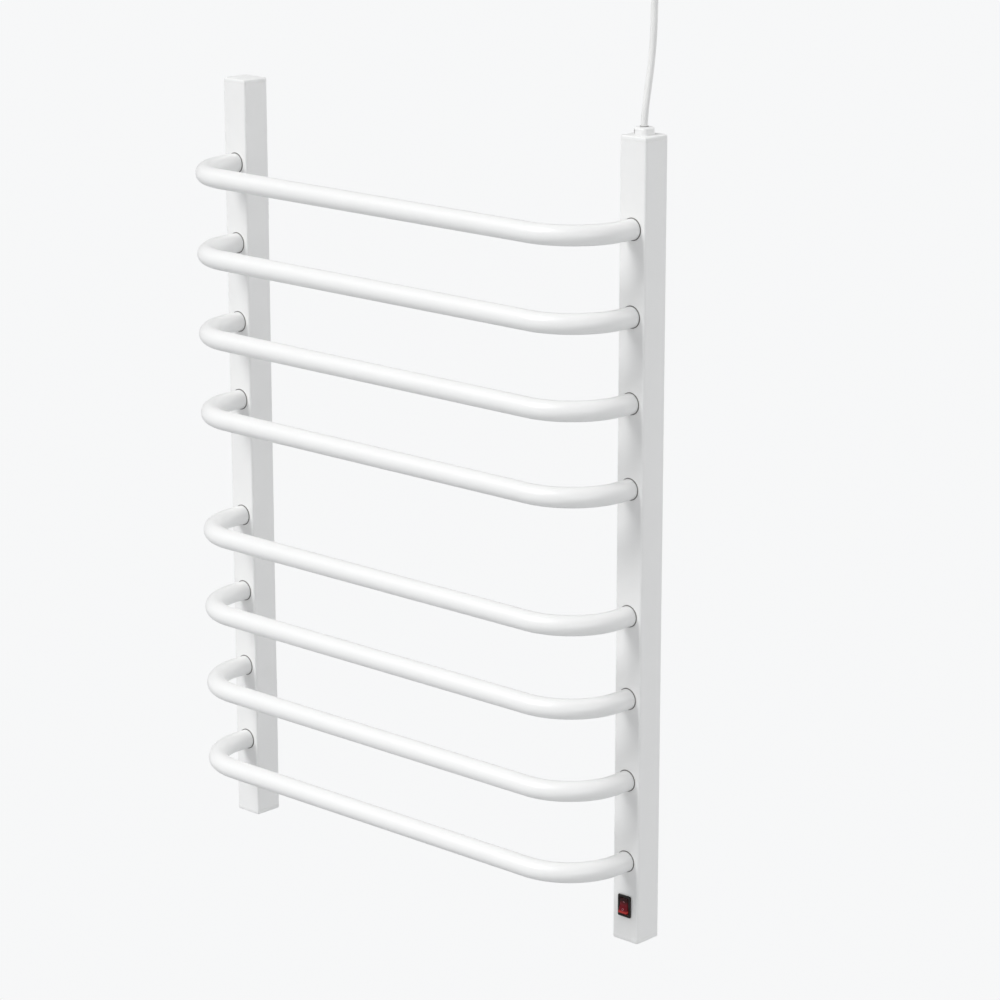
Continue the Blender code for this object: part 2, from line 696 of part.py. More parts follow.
def make_switch_contact(metal):
    """The see-saw strip under the stem; at rest its lower end is pressed on to the switched terminal."""
    strip = block_mesh("contact", (CONTACT_WIDTH, CONTACT_THICKNESS, CONTACT_LENGTH))
    spot = (COLUMN_X, SWITCH_FACE + CONTACT_DEPTH, SWITCH_HEIGHT)
    place("switch_contact", strip, metal, spot, (CONTACT_TILT, 0.0, 0.0))


def make_switch_terminals(metal):
    """Three flat tabs through the housing's floor: lamp neutral, live in, switched live out."""
    under = CONTACT_DEPTH + CONTACT_THICKNESS / 2 / math.cos(CONTACT_TILT)
    slope = math.tan(CONTACT_TILT)
    edge = TERMINAL_THICKNESS / 2
    tops = (
        ("switch_terminal_neutral", TERMINAL_SPACING, SWITCH_DEPTH - SWITCH_FLOOR - 2 * GAP),
        ("switch_terminal_live", 0.0, under + edge * slope + GAP),
        ("switch_terminal_heater", -TERMINAL_SPACING, under + (TERMINAL_SPACING + edge) * slope + GAP),
    )
    end = TERMINAL_END - SWITCH_FACE
    for name, rise, top in tops:
        tab = block_mesh(
            name, (TERMINAL_WIDTH, end - top, TERMINAL_THICKNESS), (0.0, (end + top) / 2, 0.0)
        )
        place(name, tab, metal, (COLUMN_X, SWITCH_FACE, SWITCH_HEIGHT + rise))


def make_switch_lamp(glass):
    lamp = rod_mesh("switch_lamp", LAMP_RADIUS, -LAMP_LENGTH / 2, LAMP_LENGTH / 2)
    lamp.transform(FACING_SIDE)
    place("switch_lamp", lamp, glass, (COLUMN_X, SWITCH_FACE + LAMP_DEPTH, SWITCH_HEIGHT - LAMP_DROP))


# --------------------------------------------------------------------------- wiring


def fuse_top():
    return -BAR_TOP - CABLE_TURN - CABLE_RADIUS - 2 * GAP


def make_wiring(finishes):
    """Terminal block, thermal fuse, earth lug and screw, and the single wires between them."""
    block = block_mesh(
        "terminal_block",
        (2 * (INNER_HALF - BLOCK_SIDE_ROOM), BLOCK_FRONT - BLOCK_BACK, BLOCK_HEIGHT),
        corner=BLOCK_CORNER,
        segments=1,
    )
    middle = (COLUMN_X, -(BLOCK_FRONT + BLOCK_BACK) / 2, (BLOCK_BOTTOM + BLOCK_TOP) / 2)
    place("terminal_block", block, finishes["cream"], middle)

    fuse = rod_mesh("thermal_fuse", FUSE_RADIUS, -FUSE_LENGTH, 0.0)
    place("thermal_fuse", fuse, finishes["brass"], (COLUMN_X, CABLE_FAR, fuse_top()))

    inner_top = RACK_TOP - GLAND_REACH - GAP
    lead = [(COLUMN_X, COLUMN_MID, inner_top), (COLUMN_X, COLUMN_MID, BLOCK_TOP + GAP)]
    tube("inner_lead", lead, CORD_RADIUS, finishes["cord"])

    tab_end = TERMINAL_WIDTH / 2 + GAP
    for name, offset, rise, colour in (
        ("wire_live", WIRE_OUTER, 0.0, "brown"),
        ("wire_neutral", WIRE_INNER, TERMINAL_SPACING, "blue"),
    ):
        tab = SWITCH_HEIGHT + rise
        bend = offset - tab_end
        route = [
            (COLUMN_X + offset, WIRE_BACK, BLOCK_BOTTOM - GAP),
            (COLUMN_X + offset, WIRE_BACK, 0.0),
            (COLUMN_X + offset, WIRE_BACK, tab + bend),
            (COLUMN_X + offset - WIRE_EASE * bend, WIRE_BACK, tab + WIRE_EASE * bend),
            (COLUMN_X + tab_end, WIRE_BACK, tab),
        ]
        tube(name, route, WIRE_RADIUS, finishes[colour], resolution=1)

    start = fuse_top() - FUSE_LENGTH - GAP
    end = SWITCH_HEIGHT - TERMINAL_SPACING
    drop = start - end
    heater = [(COLUMN_X, CABLE_FAR, start), (COLUMN_X, CABLE_FAR, start - HEATER_WIRE_START * drop)]
    depths = ((CABLE_FAR + WIRE_BACK) / 2, WIRE_BACK, WIRE_BACK)
    for (down, across), depth in zip(HEATER_WIRE_BENDS, depths):
        heater.append((COLUMN_X - across * WIRE_INNER, depth, start - down * drop))
    heater.append((COLUMN_X - tab_end, WIRE_BACK, end))
    tube("wire_heater", heater, WIRE_RADIUS, finishes["brown"], resolution=1)
    make_earth(finishes)


def make_earth(finishes):
    lug_x = COLUMN_X - EARTH_OFFSET
    lug_y = INNER_BACK - GAP - EARTH_LUG[1] / 2
    lug = place("earth_lug", block_mesh("lug", EARTH_LUG), finishes["brass"], (lug_x, lug_y, EARTH_HEIGHT))
    hole = rod_mesh("lug_hole", EARTH_HOLE_RADIUS, -EARTH_LUG[1], EARTH_LUG[1])
    hole.transform(FACING_FRONT)
    combine(lug, hole, "DIFFERENCE")

    seat = -INNER_BACK + GAP + EARTH_LUG[1] + GAP
    screw = turned_mesh(
        "earth_screw",
        [
            (0.0, -COLUMN_BACK - EARTH_TIP),
            (EARTH_SHANK_RADIUS, -COLUMN_BACK - EARTH_TIP),
            (EARTH_SHANK_RADIUS, seat),
            (EARTH_HEAD_RADIUS, seat),
            (EARTH_HEAD_RADIUS - EARTH_HEAD_DOME, seat + EARTH_HEAD_THICKNESS),
            (0.0, seat + EARTH_HEAD_THICKNESS),
        ],
        12,
    )
    screw.transform(FACING_FRONT)
    place("earth_screw", screw, finishes["steel"], (lug_x, 0.0, EARTH_HEIGHT))

    foot = BLOCK_TOP + GAP
    reach = EARTH_HEIGHT - EARTH_LUG[2] / 2 - GAP - foot
    block_y = -BLOCK_BACK - 2 * WIRE_DIAMETER
    lug_wire_y = INNER_BACK - GAP - WIRE_RADIUS
    sideways = lug_wire_y - block_y
    bends = [(block_y + across * sideways, foot + up * reach) for up, across in EARTH_WIRE_BENDS]
    route = [(lug_x, y, z) for y, z in [(block_y, foot), *bends, (lug_wire_y, foot + reach)]]
    tube("wire_earth", route, WIRE_RADIUS, finishes["green"], resolution=1)


# --------------------------------------------------------------------------- mains lead


def make_gland(plastic):
    """Moulded block on the cap with a tapering stem that carries the lead into the column."""
    size = (GLAND_SIDE, GLAND_SIDE, GLAND_HEIGHT)
    centre = (0.0, 0.0, GAP + GLAND_HEIGHT / 2)
    shape = block_mesh("gland", size, centre, corner=GLAND_CORNER, rim=GLAND_RIM)
    gland = place("cord_gland", shape, plastic, (COLUMN_X, COLUMN_MID, RACK_TOP))
    stem = turned_mesh(
        "gland_stem",
        [
            (0.0, -GLAND_REACH),
            (GLAND_TIP_RADIUS, -GLAND_REACH),
            (GLAND_STEM_RADIUS, -CAP_FLANGE - GAP),
            (GLAND_STEM_RADIUS, GLAND_HEIGHT / 2),
            (0.0, GLAND_HEIGHT / 2),
        ],
        GLAND_SIDES,
    )
    combine(gland, stem, "UNION")


def coil_edge(x, radius):
    """Height just below the coil at which a round piece of this radius, upright at x, comes clear of it."""
    nearest = abs(x - COIL_X) - radius
    return COIL_Z - math.sqrt(COIL_OUTER**2 - nearest**2) - GAP


def make_cord(cord):
    """The free run of the lead, from the gland up along the wall to the coil."""
    start = CORD_EXIT + Vector((0.0, 0.0, GAP))
    route = [start + Vector((0.0, back, rise)) for rise, back in CORD_ROUTE]
    route.append((COLUMN_X, COIL_Y + COIL_BUNDLE * math.sin(COIL_ENTRY), coil_edge(COLUMN_X, CORD_RADIUS)))
    tube("mains_cord", route, CORD_RADIUS, cord)


def make_coil(cord, plastic):
    """The lead's spare length wound on itself, and the band that ties it."""
    turn = math.pi / COIL_SECTION_SIDES
    corners = [turn * (2 * k + 1) for k in range(COIL_SECTION_SIDES)]
    reach = COIL_HALF / math.cos(turn)
    profile = [(COIL_MEAN_RADIUS + reach * math.cos(a), reach * math.sin(a)) for a in corners]
    ring = turned_mesh("cord_coil", profile, COIL_SIDES, ring=True)
    place("cord_coil", ring, cord, (COIL_X, COIL_Y, COIL_Z), (math.pi / 2, 0.0, 0.0))

    inner = 2 * (COIL_HALF + TIE_CLEARANCE)
    outer = (inner + 2 * TIE_THICKNESS, inner + 2 * TIE_THICKNESS, TIE_WIDTH)
    spot = (
        COIL_X + COIL_MEAN_RADIUS * math.cos(TIE_ANGLE),
        COIL_Y,
        COIL_Z + COIL_MEAN_RADIUS * math.sin(TIE_ANGLE),
    )
    tie = place("cord_tie", block_mesh("tie", outer), plastic, spot, (0.0, -TIE_ANGLE, 0.0))
    combine(tie, block_mesh("tie_inside", (inner, inner, 2 * TIE_WIDTH)), "DIFFERENCE")


def make_hook(plastic):
    """Small stick-on wall hook inside the coil, which hangs on its arm."""
    reach = math.sqrt(COIL_INNER**2 - (HOOK_ARM_WIDTH / 2) ** 2) * math.cos(math.pi / COIL_SIDES)
    arm_top = reach - GAP
    plate_centre = (0.0, -HOOK_PLATE[1] / 2, arm_top - HOOK_ARM_RISE - HOOK_PLATE[2] / 2)
    plate = block_mesh("hook", HOOK_PLATE, plate_centre, corner=HOOK_PLATE_CORNER, along=1)
    hook = place("cord_hook", plate, plastic, (COIL_X, 0.0, COIL_Z))
    lip = COIL_Y - COIL_HALF - HOOK_FRONT_ROOM
    front = lip - HOOK_LIP
    low = arm_top - HOOK_ARM_HEIGHT
    outline = [
        (-HOOK_PLATE[1] / 2, low),
        (front, low),
        (front, arm_top + HOOK_LIP_RISE),
        (lip, arm_top + HOOK_LIP_RISE),
        (lip, arm_top),
        (-HOOK_PLATE[1] / 2, arm_top),
    ]
    half = HOOK_ARM_WIDTH / 2
    combine(hook, prism_mesh("hook_arm", outline, -half, half, 0), "UNION")


def make_plug(plastic, metal):
    """Flat two-pin plug hanging pins down beside the coil, from the lead's last turn."""
    place_at = (PLUG_X, PLUG_Y, coil_edge(PLUG_X, PLUG_SLEEVE_TIP))
    half_face, half_neck = PLUG_FACE_WIDTH / 2, PLUG_NECK_WIDTH / 2
    top = -PLUG_SLEEVE
    face = top - PLUG_BODY
    outline = [
        (-half_neck, top),
        (half_neck, top),
        (half_face, top - PLUG_SHOULDER),
        (half_face, face),
        (-half_face, face),
        (-half_face, top - PLUG_SHOULDER),
    ]
    half = PLUG_THICKNESS / 2
    body = place("plug_body", prism_mesh("plug", outline, -half, half, 1), plastic, place_at)
    sleeve = turned_mesh(
        "plug_sleeve",
        [
            (0.0, top - PLUG_SLEEVE_ROOT),
            (PLUG_SLEEVE_RADIUS, top - PLUG_SLEEVE_ROOT),
            (PLUG_SLEEVE_RADIUS, top),
            (PLUG_SLEEVE_TIP, 0.0),
            (0.0, 0.0),
        ],
        GLAND_SIDES,
    )
    combine(body, sleeve, "UNION")
    socket = rod_mesh("pin_socket", PIN_RADIUS + GAP, face - PIN_ROOT, face + PIN_ROOT)
    sides = (-PIN_SPACING / 2, PIN_SPACING / 2)
    combine(body, gathered_mesh("sockets", [(socket, moved(x, 0.0, 0.0)) for x in sides]), "DIFFERENCE")
    low = face - PIN_LENGTH
    pin = turned_mesh(
        "plug_pin",
        [
            (0.0, low),
            (PIN_TIP_RADIUS, low),
            (PIN_RADIUS, low + PIN_TIP_LENGTH),
            (PIN_RADIUS, face + PIN_ROOT - GAP),
            (0.0, face + PIN_ROOT - GAP),
        ],
        12,
    )
    for x, name in zip(sides, ("plug_pin_left", "plug_pin_right")):
        place(name, pin, metal, (place_at[0] + x, place_at[1], place_at[2]))


# --------------------------------------------------------------------------- the rack


def main():
    for old in list(bpy.data.objects):
        bpy.data.objects.remove(old, do_unlink=True)

    paint = material("white_paint", (0.86, 0.86, 0.85), 0.32)
    plastic = material("white_plastic", (0.84, 0.84, 0.83), 0.42)
    rubber = material("grey_rubber", (0.16, 0.16, 0.16), 0.75)
    steel = material("zinc_steel", (0.62, 0.63, 0.64), 0.35, 1.0)
    black = material("black_plastic", (0.018, 0.016, 0.016), 0.38)
    red = material("red_rocker", (0.42, 0.012, 0.02), 0.2)
    nickel = material("nickel", (0.72, 0.70, 0.66), 0.28, 1.0)
    cord = material("white_cord", (0.86, 0.86, 0.85), 0.5)
    finishes = {
        "cream": material("cream_block", (0.78, 0.74, 0.62), 0.5),
        "brass": material("brass", (0.74, 0.58, 0.28), 0.35, 1.0),
        "brown": material("brown_wire", (0.16, 0.07, 0.03), 0.5),
        "blue": material("blue_wire", (0.03, 0.14, 0.5), 0.5),
        "green": material("green_wire", (0.30, 0.55, 0.05), 0.5),
        "steel": steel,
        "cord": cord,
    }

    make_columns(paint)
    make_caps(plastic)
    make_brackets(steel)
    make_bars(paint)
    make_seals(rubber)
    make_heating_cable(material("red_silicone", (0.35, 0.06, 0.04), 0.55))
    make_switch_housing(black)
    make_switch_rocker(red)
    make_switch_contact(nickel)
    make_switch_terminals(nickel)
    make_switch_lamp(material("lamp_glass", (0.95, 0.45, 0.25), 0.1))
    make_wiring(finishes)
    make_gland(plastic)
    make_cord(cord)
    make_coil(cord, plastic)
    make_hook(plastic)
    make_plug(plastic, nickel)


main()
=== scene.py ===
"""Looks of an electric towel warmer rack: painted tubes, moulded ends, lit rocker switch and mains lead.

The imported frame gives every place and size.  Each visible part is a surface worked out on a grid of points,
and every finish is a node material made of shared texture groups.
"""

import json
import math

import bmesh
import bpy
import numpy as np
from mathutils import Matrix, Vector


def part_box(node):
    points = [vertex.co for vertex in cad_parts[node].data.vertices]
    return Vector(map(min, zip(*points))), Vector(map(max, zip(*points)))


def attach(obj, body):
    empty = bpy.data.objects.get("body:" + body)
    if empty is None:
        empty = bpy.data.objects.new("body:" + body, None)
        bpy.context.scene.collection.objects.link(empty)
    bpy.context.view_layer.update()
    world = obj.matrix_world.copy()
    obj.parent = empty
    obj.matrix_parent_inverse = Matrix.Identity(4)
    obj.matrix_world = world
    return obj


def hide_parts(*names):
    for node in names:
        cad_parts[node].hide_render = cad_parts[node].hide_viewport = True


bl_info = {
    "name": "Towel Warmer Rack Looks",
    "version": (1, 0, 0),
    "blender": (4, 5, 0),
    "location": "View3D > Sidebar > Rack",
    "description": "Painted tubes, moulded ends, switch, mains lead and stage of a towel warmer rack",
    "category": "Object",
}

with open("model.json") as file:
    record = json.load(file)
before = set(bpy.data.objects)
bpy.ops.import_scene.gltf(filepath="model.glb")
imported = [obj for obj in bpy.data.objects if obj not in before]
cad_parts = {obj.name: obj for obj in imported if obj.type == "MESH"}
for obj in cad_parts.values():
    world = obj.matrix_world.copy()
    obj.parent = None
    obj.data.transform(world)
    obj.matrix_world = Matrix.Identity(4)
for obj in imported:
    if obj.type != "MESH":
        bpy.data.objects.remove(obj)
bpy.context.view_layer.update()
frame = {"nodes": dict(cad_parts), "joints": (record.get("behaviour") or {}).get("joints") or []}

# --------------------------------------------------------------------------- places read from the frame


def centre_of(node):
    low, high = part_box(node)
    return (low + high) / 2


def span_of(node):
    low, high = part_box(node)
    return high - low


SIDES = (("left", -1), ("right", 1))
BAR_NAMES = [f"bar_{k + 1}" for k in range(8)]
COLUMN_X = centre_of("column_right").x
COLUMN_SIZE = span_of("column_right").x
COLUMN_LOW, COLUMN_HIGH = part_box("column_right")
COLUMN_MID = (COLUMN_LOW.y + COLUMN_HIGH.y) / 2
COLUMN_WALL = 0.0015
SHARP_ANGLE = math.radians(32.0)
CUT_LEVELS = (-0.004, 0.002)
BEZEL_LAP = 0.0007
BAR_HEIGHTS = [centre_of(name).z for name in BAR_NAMES]
BAR_RADIUS = span_of("bar_1").z / 2
BAR_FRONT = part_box("bar_1")[0].y + BAR_RADIUS
BAR_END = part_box("bar_1")[1].y
BRACKETS = [f"wall_bracket_{level}_{hand}" for level in ("upper", "lower") for hand in ("left", "right")]
ROCKER = next(j for j in frame["joints"] if j["child"] == "rocker")
PIVOT = Vector(ROCKER["pos_m"])
GLAND_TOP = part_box("cord_gland")[1].z
CAP_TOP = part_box("cap_top_right")[1].z
COIL = centre_of("cord_coil")
COIL_HALF = span_of("cord_coil").y / 2
COIL_MEAN = span_of("cord_coil").x / 2 - COIL_HALF

# --------------------------------------------------------------------------- settings


def length(default, name, text):
    return bpy.props.FloatProperty(
        name=name, description=text, default=default, min=0.0, precision=4, unit="LENGTH", subtype="DISTANCE"
    )


def colour(default, name, text):
    return bpy.props.FloatVectorProperty(
        name=name, description=text, default=default, size=3, min=0.0, max=1.0, subtype="COLOR"
    )


def factor(default, name, text):
    return bpy.props.FloatProperty(
        name=name, description=text, default=default, min=0.0, max=1.0, subtype="FACTOR"
    )


def bearing(degrees, name, text):
    return bpy.props.FloatProperty(
        name=name, description=text, default=math.radians(degrees), subtype="ANGLE"
    )


def strength(default, name, text):
    return bpy.props.FloatProperty(name=name, description=text, default=default, min=0.0)


class RackShape(bpy.types.PropertyGroup):
    """Sizes that the frame's boxes don't give."""

    column_corner: length(0.0020, "Column corner", "Radius along the columns' edges")
    cap_rim: length(0.0016, "Cap rim", "Radius round the end caps' faces")
    bar_bend: length(0.0570, "Bar bend", "Bend radius at the bar's centre line")
    bar_sides: bpy.props.IntProperty(
        name="Bar sides", description="Faces round each bar", default=48, min=12, max=96
    )
    seal_width: length(0.0008, "Seal width", "Rubber ring shown round each bar")
    gland_corner: length(0.0050, "Gland corner", "Radius of the gland's upright edges")
    gland_rim: length(0.0024, "Gland rim", "Radius round the gland's top")
    bezel_rim: length(0.0006, "Bezel rim", "Radius round the switch bezel's face")


class RackLead(bpy.types.PropertyGroup):
    """The mains lead and its winding."""

    diameter: length(0.0062, "Diameter", "Outside diameter of the sheath")
    bundle: length(0.0063, "Bundle radius", "Distance of each turn from the middle of the bundle")
    turns: bpy.props.FloatProperty(
        name="Turns", description="Turns in the coil", default=5.5, min=0.5, max=5.5
    )
    entry: bearing(45.0, "Entry", "Place of the first turn round the bundle")


class RackColours(bpy.types.PropertyGroup):
    """Colours of the finishes."""

    paint: colour((0.84, 0.84, 0.835), "Paint", "Powder coat on columns and bars")
    plastic: colour((0.83, 0.83, 0.825), "White plastic", "Caps, gland, plug and hook")
    sheath: colour((0.82, 0.82, 0.81), "Sheath", "Mains lead")
    rubber: colour((0.21, 0.205, 0.20), "Rubber", "Rings round the bars")
    black: colour((0.012, 0.007, 0.006), "Bezel", "Switch bezel")
    rocker: colour((0.150, 0.004, 0.011), "Rocker", "Switch rocker, unlit")
    # The rocker's emission colour: partly the lamp's glow through it, partly a painted highlight
    glow: colour((0.80, 0.10, 0.07), "Glow", "Light through the rocker")
    zinc: colour((0.60, 0.61, 0.63), "Zinc", "Brackets and screw")
    nickel: colour((0.72, 0.70, 0.66), "Nickel", "Contacts and plug pins")


class RackStage(bpy.types.PropertyGroup):
    """Camera, light and floor."""

    azimuth: bearing(42.76, "Azimuth", "Camera's turn to the right")
    elevation: bearing(15.17, "Elevation", "Camera's height above level")
    place: bpy.props.FloatVectorProperty(
        name="Place", description="Camera's place", default=(2.2079, -2.3166, 0.8637), subtype="TRANSLATION"
    )
    lens: bpy.props.FloatProperty(
        name="Lens", description="Focal length in millimetres", default=125.4, min=10.0, subtype="NONE"
    )
    floor: length(1.30, "Floor", "How far the floor lies under the rack's middle")
    key: strength(2.15, "Key light", "Strength of the main light")
    fill: strength(0.70, "Fill light", "Strength of the light from the right")
    rear: strength(0.90, "Rear light", "Strength of the light from behind")
    sky: factor(0.46, "Surrounding light", "Strength of the even light from all round")
    backdrop: colour((0.93, 0.935, 0.94), "Backdrop", "Colour seen behind the rack")


# --------------------------------------------------------------------------- surfaces


def stack(rows, steps=8, support=0.0002):
    """Rings of rounded rectangles, one for each row of half width, half height, corner radius and level.

    A ring is four quarter circles about the corners' centres, each with one more point a little way along the
    flat before and after it, so that the flats shade flat.
    """
    half_width, half_height, corner, level = (np.array(rows, float).T)[:, :, None]
    quarter = np.linspace(0.0, math.pi / 2, steps + 1)
    angle = np.concatenate([[0.0], quarter, [math.pi / 2]])
    shift = np.concatenate([[-support], np.zeros(steps + 1), [support]])
    turns = np.arange(4)
    angle = (angle[None, :] + turns[:, None] * math.pi / 2).ravel()
    shift = np.tile(shift, 4)
    side = np.repeat([1, -1, -1, 1], steps + 3)
    rise = np.repeat([1, 1, -1, -1], steps + 3)
    x = side * (half_width - corner) + corner * np.cos(angle) - shift * np.sin(angle)
    y = rise * (half_height - corner) + corner * np.sin(angle) + shift * np.cos(angle)
    return np.stack([x, y, np.broadcast_to(level, x.shape)], axis=-1)


def rounded_rows(half_width, half_height, corner, low, high, rim, steps=4, both=True):
    """Rows of a slab for stack: its edge is a quarter circle at the top, or at both ends."""
    turn = np.linspace(0.0, math.pi / 2, steps + 1)
    inset = rim * (1 - np.cos(turn))
    sides = [half_width - inset, half_height - inset, corner - inset]
    top = np.stack([*sides, high - rim + rim * np.sin(turn)])
    bottom = np.stack([*sides, low + rim - rim * np.sin(turn)])
    first = bottom.T[::-1] if both else np.array([[half_width, half_height, corner, low]])
    return np.concatenate([first, top.T])


def lathe(profile, sides=48):
    """Rings of circles about Z: each profile row is a radius and a level."""
    radius, level = (np.array(profile, float).T)[:, :, None]
    turn = np.arange(sides) * 2 * math.pi / sides
    x, y = radius * np.cos(turn), radius * np.sin(turn)
    return np.stack([x, y, np.broadcast_to(level, x.shape)], axis=-1)


def circle(radius, sides):
    turn = np.arange(sides) * 2 * math.pi / sides
    return np.stack([radius * np.cos(turn), radius * np.sin(turn)], axis=-1)


def sweep(path, outline, up, closed=False):
    """Rings of an outline carried along a path, each in the plane of up and of tangent x up."""
    path = np.asarray(path, float)
    if closed:
        tangent = np.roll(path, -1, 0) - np.roll(path, 1, 0)
    else:
        tangent = np.gradient(path, axis=0)
    tangent /= np.linalg.norm(tangent, axis=1, keepdims=True)
    side = np.cross(tangent, up)
    side /= np.linalg.norm(side, axis=1, keepdims=True)
    rise = np.cross(side, tangent)
    return path[:, None] + outline[None, :, :1] * side[:, None] + outline[None, :, 1:] * rise[:, None]


def rounded_outline(corners, radii, steps=6):
    """Polygon whose corners are arcs that touch both their sides."""
    point = np.array(corners, float)
    radius = np.broadcast_to(np.array(radii, float), len(point))[:, None]
    back, ahead = np.roll(point, 1, 0) - point, np.roll(point, -1, 0) - point
    back /= np.linalg.norm(back, axis=1, keepdims=True)
    ahead /= np.linalg.norm(ahead, axis=1, keepdims=True)
    half = 0.5 * np.arccos(np.clip((back * ahead).sum(1), -1, 1))[:, None]
    bisector = back + ahead
    bisector /= np.linalg.norm(bisector, axis=1, keepdims=True)
    centre = point + bisector * radius / np.sin(half)
    start, end = point + back * radius / np.tan(half) - centre, point + ahead * radius / np.tan(half) - centre
    first = np.arctan2(start[:, 1], start[:, 0])
    cross = start[:, 0] * end[:, 1] - start[:, 1] * end[:, 0]
    turn = np.arctan2(cross, (start * end).sum(1))
    angle = first[:, None] + turn[:, None] * np.linspace(0, 1, steps + 1)
    arcs = centre[:, None] + radius[:, None] * np.stack([np.cos(angle), np.sin(angle)], axis=-1)
    return arcs.reshape(-1, 2)


def prism(outline, low, high, rim=0.0, steps=3):
    """Rings of an outline raised from low to high; at both ends it shrinks inwards by a quarter circle."""
    ahead = np.roll(outline, -1, 0) - np.roll(outline, 1, 0)
    ahead /= np.linalg.norm(ahead, axis=1, keepdims=True)
    x, y = outline.T
    area = 0.5 * np.sum(x * np.roll(y, -1) - np.roll(x, -1) * y)
    normal = np.stack([ahead[:, 1], -ahead[:, 0]], axis=-1) * np.sign(area)
    if rim:
        turn = np.linspace(0.0, math.pi / 2, steps + 1)
        inset = rim * (1 - np.cos(turn))
        rise = rim * np.sin(turn)
        inset = np.concatenate([inset[::-1], inset])
        level = np.concatenate([low + rim - rise[::-1], high - rim + rise])
    else:
        inset, level = np.zeros(2), np.array([low, high])
    flat = outline[None] - normal[None] * inset[:, None, None]
    return np.concatenate([flat, np.broadcast_to(level[:, None, None], (*flat.shape[:2], 1))], axis=-1)


def shell(rings, placing=None, loop=False):
    """Points and faces of rings joined in order, with a face over each end, or joined as a loop."""
    rows, columns = rings.shape[:2]
    points = rings.reshape(-1, 3)
    if placing is not None:
        points = points @ np.array(placing)[:3, :3].T + np.array(placing)[:3, 3]
    row = np.arange(rows if loop else rows - 1)[:, None]
    column = np.arange(columns)[None, :]
    after, beside = (row + 1) % rows, (column + 1) % columns
    row, after = row * columns, after * columns
    corners = [row + column, row + beside, after + beside, after + column]
    faces = np.stack(corners, axis=-1).reshape(-1, 4).tolist()
    if not loop:
        faces += [list(range(columns))[::-1], list(range((rows - 1) * columns, rows * columns))]
    return points, faces


def mesh_of(name, shells):
    """One mesh of several shells: faces point outwards, round stretches are smooth and edges sharp."""
    points, faces, count = [], [], 0
    for part_points, part_faces in shells:
        points.append(part_points)
        faces += [[index + count for index in face] for face in part_faces]
        count += len(part_points)
    mesh = bpy.data.meshes.new(name)
    mesh.from_pydata(np.concatenate(points).tolist(), [], faces)
    bm = bmesh.new()
    bm.from_mesh(mesh)
    bmesh.ops.recalc_face_normals(bm, faces=bm.faces)
    bm.to_mesh(mesh)
    bm.free()
    mesh.shade_smooth()
    mesh.set_sharp_from_angle(angle=SHARP_ANGLE)
    return mesh


def place_piece(name, shells, slot, stands_for=(), body="rack", look=None):
    """Adds a piece with the finish of the record's slot, hides the nodes it stands for and ties it to the
    body it rides on.
    """
    piece = bpy.data.objects.new(name, mesh_of(name, shells))
    bpy.context.scene.collection.objects.link(piece)
    piece.data.materials.append(look or finish_of(slot))
    if stands_for:
        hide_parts(*stands_for)
    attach(piece, body)
    return piece


def carve(piece, shells):
    """Cuts closed shells out of a piece, and keeps the cut mesh."""
    tool = bpy.data.objects.new("cutter", mesh_of("cutter", shells))
    bpy.context.scene.collection.objects.link(tool)
    step = piece.modifiers.new("Carve", "BOOLEAN")
    step.operation = "DIFFERENCE"
    step.solver = "EXACT"
    step.object = tool
    bpy.context.view_layer.update()
    cut = bpy.data.meshes.new_from_object(piece.evaluated_get(bpy.context.evaluated_depsgraph_get()))
    piece.modifiers.clear()
    piece.data = cut
    cut.shade_smooth()
    cut.set_sharp_from_angle(angle=SHARP_ANGLE)
    bpy.data.objects.remove(tool, do_unlink=True)
    if not cut.polygons:
        raise RuntimeError(f"nothing is left of {piece.name}")


def at(x, y, z):
    return Matrix.Translation((x, y, z))


# Turns that send a surface's level out of the wall, along X, or to the room with its first axis up
OUTWARD = Matrix.Rotation(math.pi / 2, 4, "X")
UPSIDE_DOWN = Matrix.Rotation(math.pi, 4, "X")
PROFILE_UP = Matrix(((0, 0, 1, 0), (0, -1, 0, 0), (1, 0, 0, 0), (0, 0, 0, 1)))
PROFILE_OUT = Matrix(((0, 0, -1, 0), (-1, 0, 0, 0), (0, 1, 0, 0), (0, 0, 0, 1)))

# --------------------------------------------------------------------------- texture groups


def new_node(tree, kind, **values):
    made = tree.nodes.new(kind)
    for name, value in values.items():
        if name in made.inputs:
            made.inputs[name].default_value = value
        else:
            setattr(made, name, value)
    return made


def new_group(name, inputs, outputs):
    """A shader group with float, colour or vector sockets, given by the type of each default."""
    tree = bpy.data.node_groups.new(name, "ShaderNodeTree")
    kinds = {float: "NodeSocketFloat", tuple: "NodeSocketColor", type(None): "NodeSocketVector"}
    for label, default in inputs.items():
        socket = tree.interface.new_socket(label, in_out="INPUT", socket_type=kinds[type(default)])
        if default is not None:
            socket.default_value = default
    for label, kind in outputs.items():
        tree.interface.new_socket(label, in_out="OUTPUT", socket_type=kind)
    return tree, tree.nodes.new("NodeGroupInput").outputs, tree.nodes.new("NodeGroupOutput").inputs


SURFACE_OUTPUTS = {"Color": "NodeSocketColor", "Roughness": "NodeSocketFloat", "Normal": "NodeSocketVector"}


def noise(tree, vector, scale, detail=2.0, roughness=0.5):
    made = new_node(tree, "ShaderNodeTexNoise", Detail=detail, Roughness=roughness)
    tree.links.new(vector, made.inputs["Vector"])
    if isinstance(scale, float):
        made.inputs["Scale"].default_value = scale
    else:
        tree.links.new(scale, made.inputs["Scale"])
    return made.outputs["Fac"]


def remap(tree, value, low, high, to_low=0.0, to_high=1.0):
    made = tree.nodes.new("ShaderNodeMapRange")
    for number, given in ((0, value), (1, low), (2, high), (3, to_low), (4, to_high)):
        if isinstance(given, float):
            made.inputs[number].default_value = given
        else:
            tree.links.new(given, made.inputs[number])
    return made.outputs["Result"]


